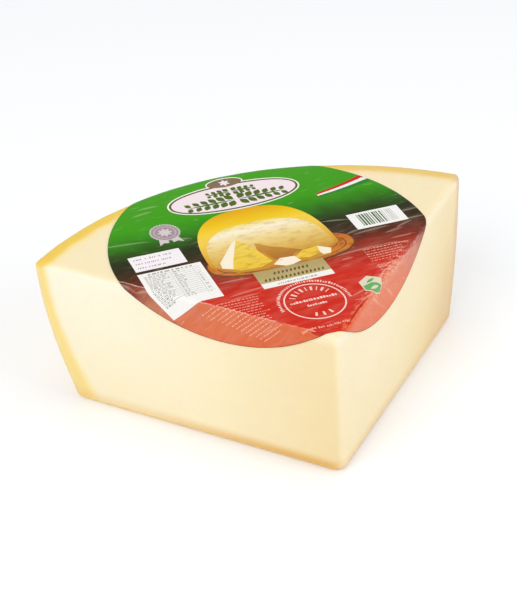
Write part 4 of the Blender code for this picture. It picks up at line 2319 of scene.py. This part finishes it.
@dataclass(frozen=True)
class Studio:
    """The pale floor, the soft light and the camera at the photograph's angle."""

    azimuth: float = -20.48
    elevation: float = 33.97
    distance: float = 1.0312
    lens: float = 105.09
    sensor: float = 36.0
    clip: Band = (0.05, 50.0)
    aim: Vector = field(default_factory=lambda: Vector((-0.0212, 0.0705, 0.0870)))
    floor_half: float = 4.0
    floor_gap: float = 0.0003
    floor_colour: Screen = (236, 238, 241)
    floor_glow: float = 0.20
    floor_roughness: float = 0.7
    floor_specular: float = 0.1
    lamp_target: Sizes = (0.0, 0.0, 0.05)
    world_strength: float = 0.47
    lamps: tuple[Lamp, ...] = (
        Lamp("key", (-1.1, -0.7, 1.3), (1.2, 1.2), 13.0),
        Lamp("fill", (1.2, -0.9, 0.9), (1.2, 1.0), 8.6),
        Lamp("overhead", (0.1, 0.5, 1.6), (1.6, 1.2), 6.0),
    )

    def camera(self, tip: Vector) -> bpy.types.Object:
        """The camera, aimed from a place beside the tip.

        Args:
            tip: Where the corner of the cuts stands.

        Returns:
            The camera's object.
        """
        data = bpy.data.cameras.new("camera")
        data.lens, data.sensor_width = self.lens, self.sensor
        data.clip_start, data.clip_end = self.clip
        camera = bpy.data.objects.new("camera", data)
        bpy.context.scene.collection.objects.link(camera)
        side, rise = math.radians(self.azimuth), math.radians(self.elevation)
        back = Vector((math.sin(side) * math.cos(rise), -math.cos(side) * math.cos(rise), math.sin(rise)))
        camera.location = tip + self.aim + back * self.distance
        camera.rotation_euler = (-back).to_track_quat("-Z", "Y").to_euler()
        bpy.context.scene.camera = camera
        return camera

    def floor(self) -> bpy.types.Object:
        """The plain floor.

        Returns:
            The floor's object.
        """
        half = self.floor_half
        mesh = bpy.data.meshes.new("floor")
        corners = [(*corner, -self.floor_gap) for corner in box(-half, -half, half, half)]
        mesh.from_pydata(corners, [], [(0, 1, 2, 3)])
        material = Graph("floor").finish(
            Base_Color=linear(self.floor_colour),
            Roughness=self.floor_roughness,
            Specular_IOR_Level=self.floor_specular,
            Emission_Color=WHITE_LIGHT,
            Emission_Strength=self.floor_glow,
        )
        mesh.materials.append(material)
        floor = bpy.data.objects.new("floor", mesh)
        bpy.context.scene.collection.objects.link(floor)
        return floor

    def world(self) -> None:
        """Even light from all round, shown without a film curve."""
        world = bpy.data.worlds.new("studio")
        world.use_nodes = True
        sky = world.node_tree.nodes["Background"]
        sky.inputs["Strength"].default_value = self.world_strength
        sky.inputs["Color"].default_value = WHITE_LIGHT
        bpy.context.scene.world = world
        bpy.context.scene.view_settings.view_transform = "Standard"

    def build(self, tip: Vector) -> None:
        """Sets up the floor, the light and the camera.

        Args:
            tip: Where the corner of the cuts stands.
        """
        self.world()
        self.floor()
        for lamp in self.lamps:
            lamp.build(Vector(self.lamp_target))
        self.camera(tip)


# ---------- putting it together


def placed(name: str, mesh: bpy.types.Mesh, shift: Vector, node: str) -> bpy.types.Object:
    """Puts a mesh where its CAD node is.

    Args:
        name: The piece's name.
        mesh: Its mesh, measured from the tip's corner.
        shift: Where that corner stands in the frame.
        node: The CAD node that the piece stands for.

    Returns:
        The piece.
    """
    mesh.transform(Matrix.Translation(shift))
    piece = bpy.data.objects.new(name, mesh)
    bpy.context.scene.collection.objects.link(piece)
    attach(piece, BODY)
    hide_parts(node)
    LOG.info("%s: %d faces for %s", name, len(mesh.polygons), node)
    return piece


def tip_place(wheel: CutWheel, low: Vector, high: Vector) -> Vector:
    """Where the corner of the cuts stands in the frame.

    Args:
        wheel: The block's form.
        low: The lowest corner of the CAD block's box.
        high: The highest corner of that box.

    Returns:
        The corner's place at the height of the base.
    """
    points = [point for ring in wheel.rings() for point in ring]
    middles = [(min(p[i] for p in points) + max(p[i] for p in points)) / 2 for i in (0, 1)]
    return Vector(((low.x + high.x) / 2 - middles[0], (low.y + high.y) / 2 - middles[1], low.z))


def main() -> None:
    """Builds the block, its film and the studio in order."""
    logging.basicConfig(level=logging.INFO, format="%(name)s: %(message)s")
    low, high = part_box("cheese")
    wheel = CutWheel(height=high.z - low.z)
    tip = tip_place(wheel, low, high)
    Studio().build(tip)
    block_mesh = wheel.mesh()
    Tints(wheel).keep_on(block_mesh)
    block_mesh.shade_smooth()
    block_mesh.materials.append(PasteFinish().material())
    placed("cheese_block", block_mesh, tip, "cheese")
    film = Film(wheel)
    print_parts = (
        CreaseGlints(film.creases),
        Cartouche(),
        Rosette(),
        Tricolour(),
        StillLife(),
        NameBand(),
        Stamp(),
        FactsTable(),
        DatePanel(),
        BarBox(),
        LeafBadge(),
        SmallPrint(),
        FoldShadows(),
    )
    patches = []
    for part in print_parts:
        found = part.patches()
        LOG.info("%s: %d fields of ink", type(part).__name__, len(found))
        patches += found
    film_mesh, inks = film.mesh(patches)
    finishes = {finish.ink: finish for finish in FINISHES}
    for ink in inks:
        film_mesh.materials.append(finishes[ink].material(film))
    label = placed("label_film", film_mesh, tip, "label")
    sheet = label.modifiers.new("thickness", "SOLIDIFY")
    sheet.thickness, sheet.offset = film.thickness, 1.0


if __name__ == "__main__":
    main()
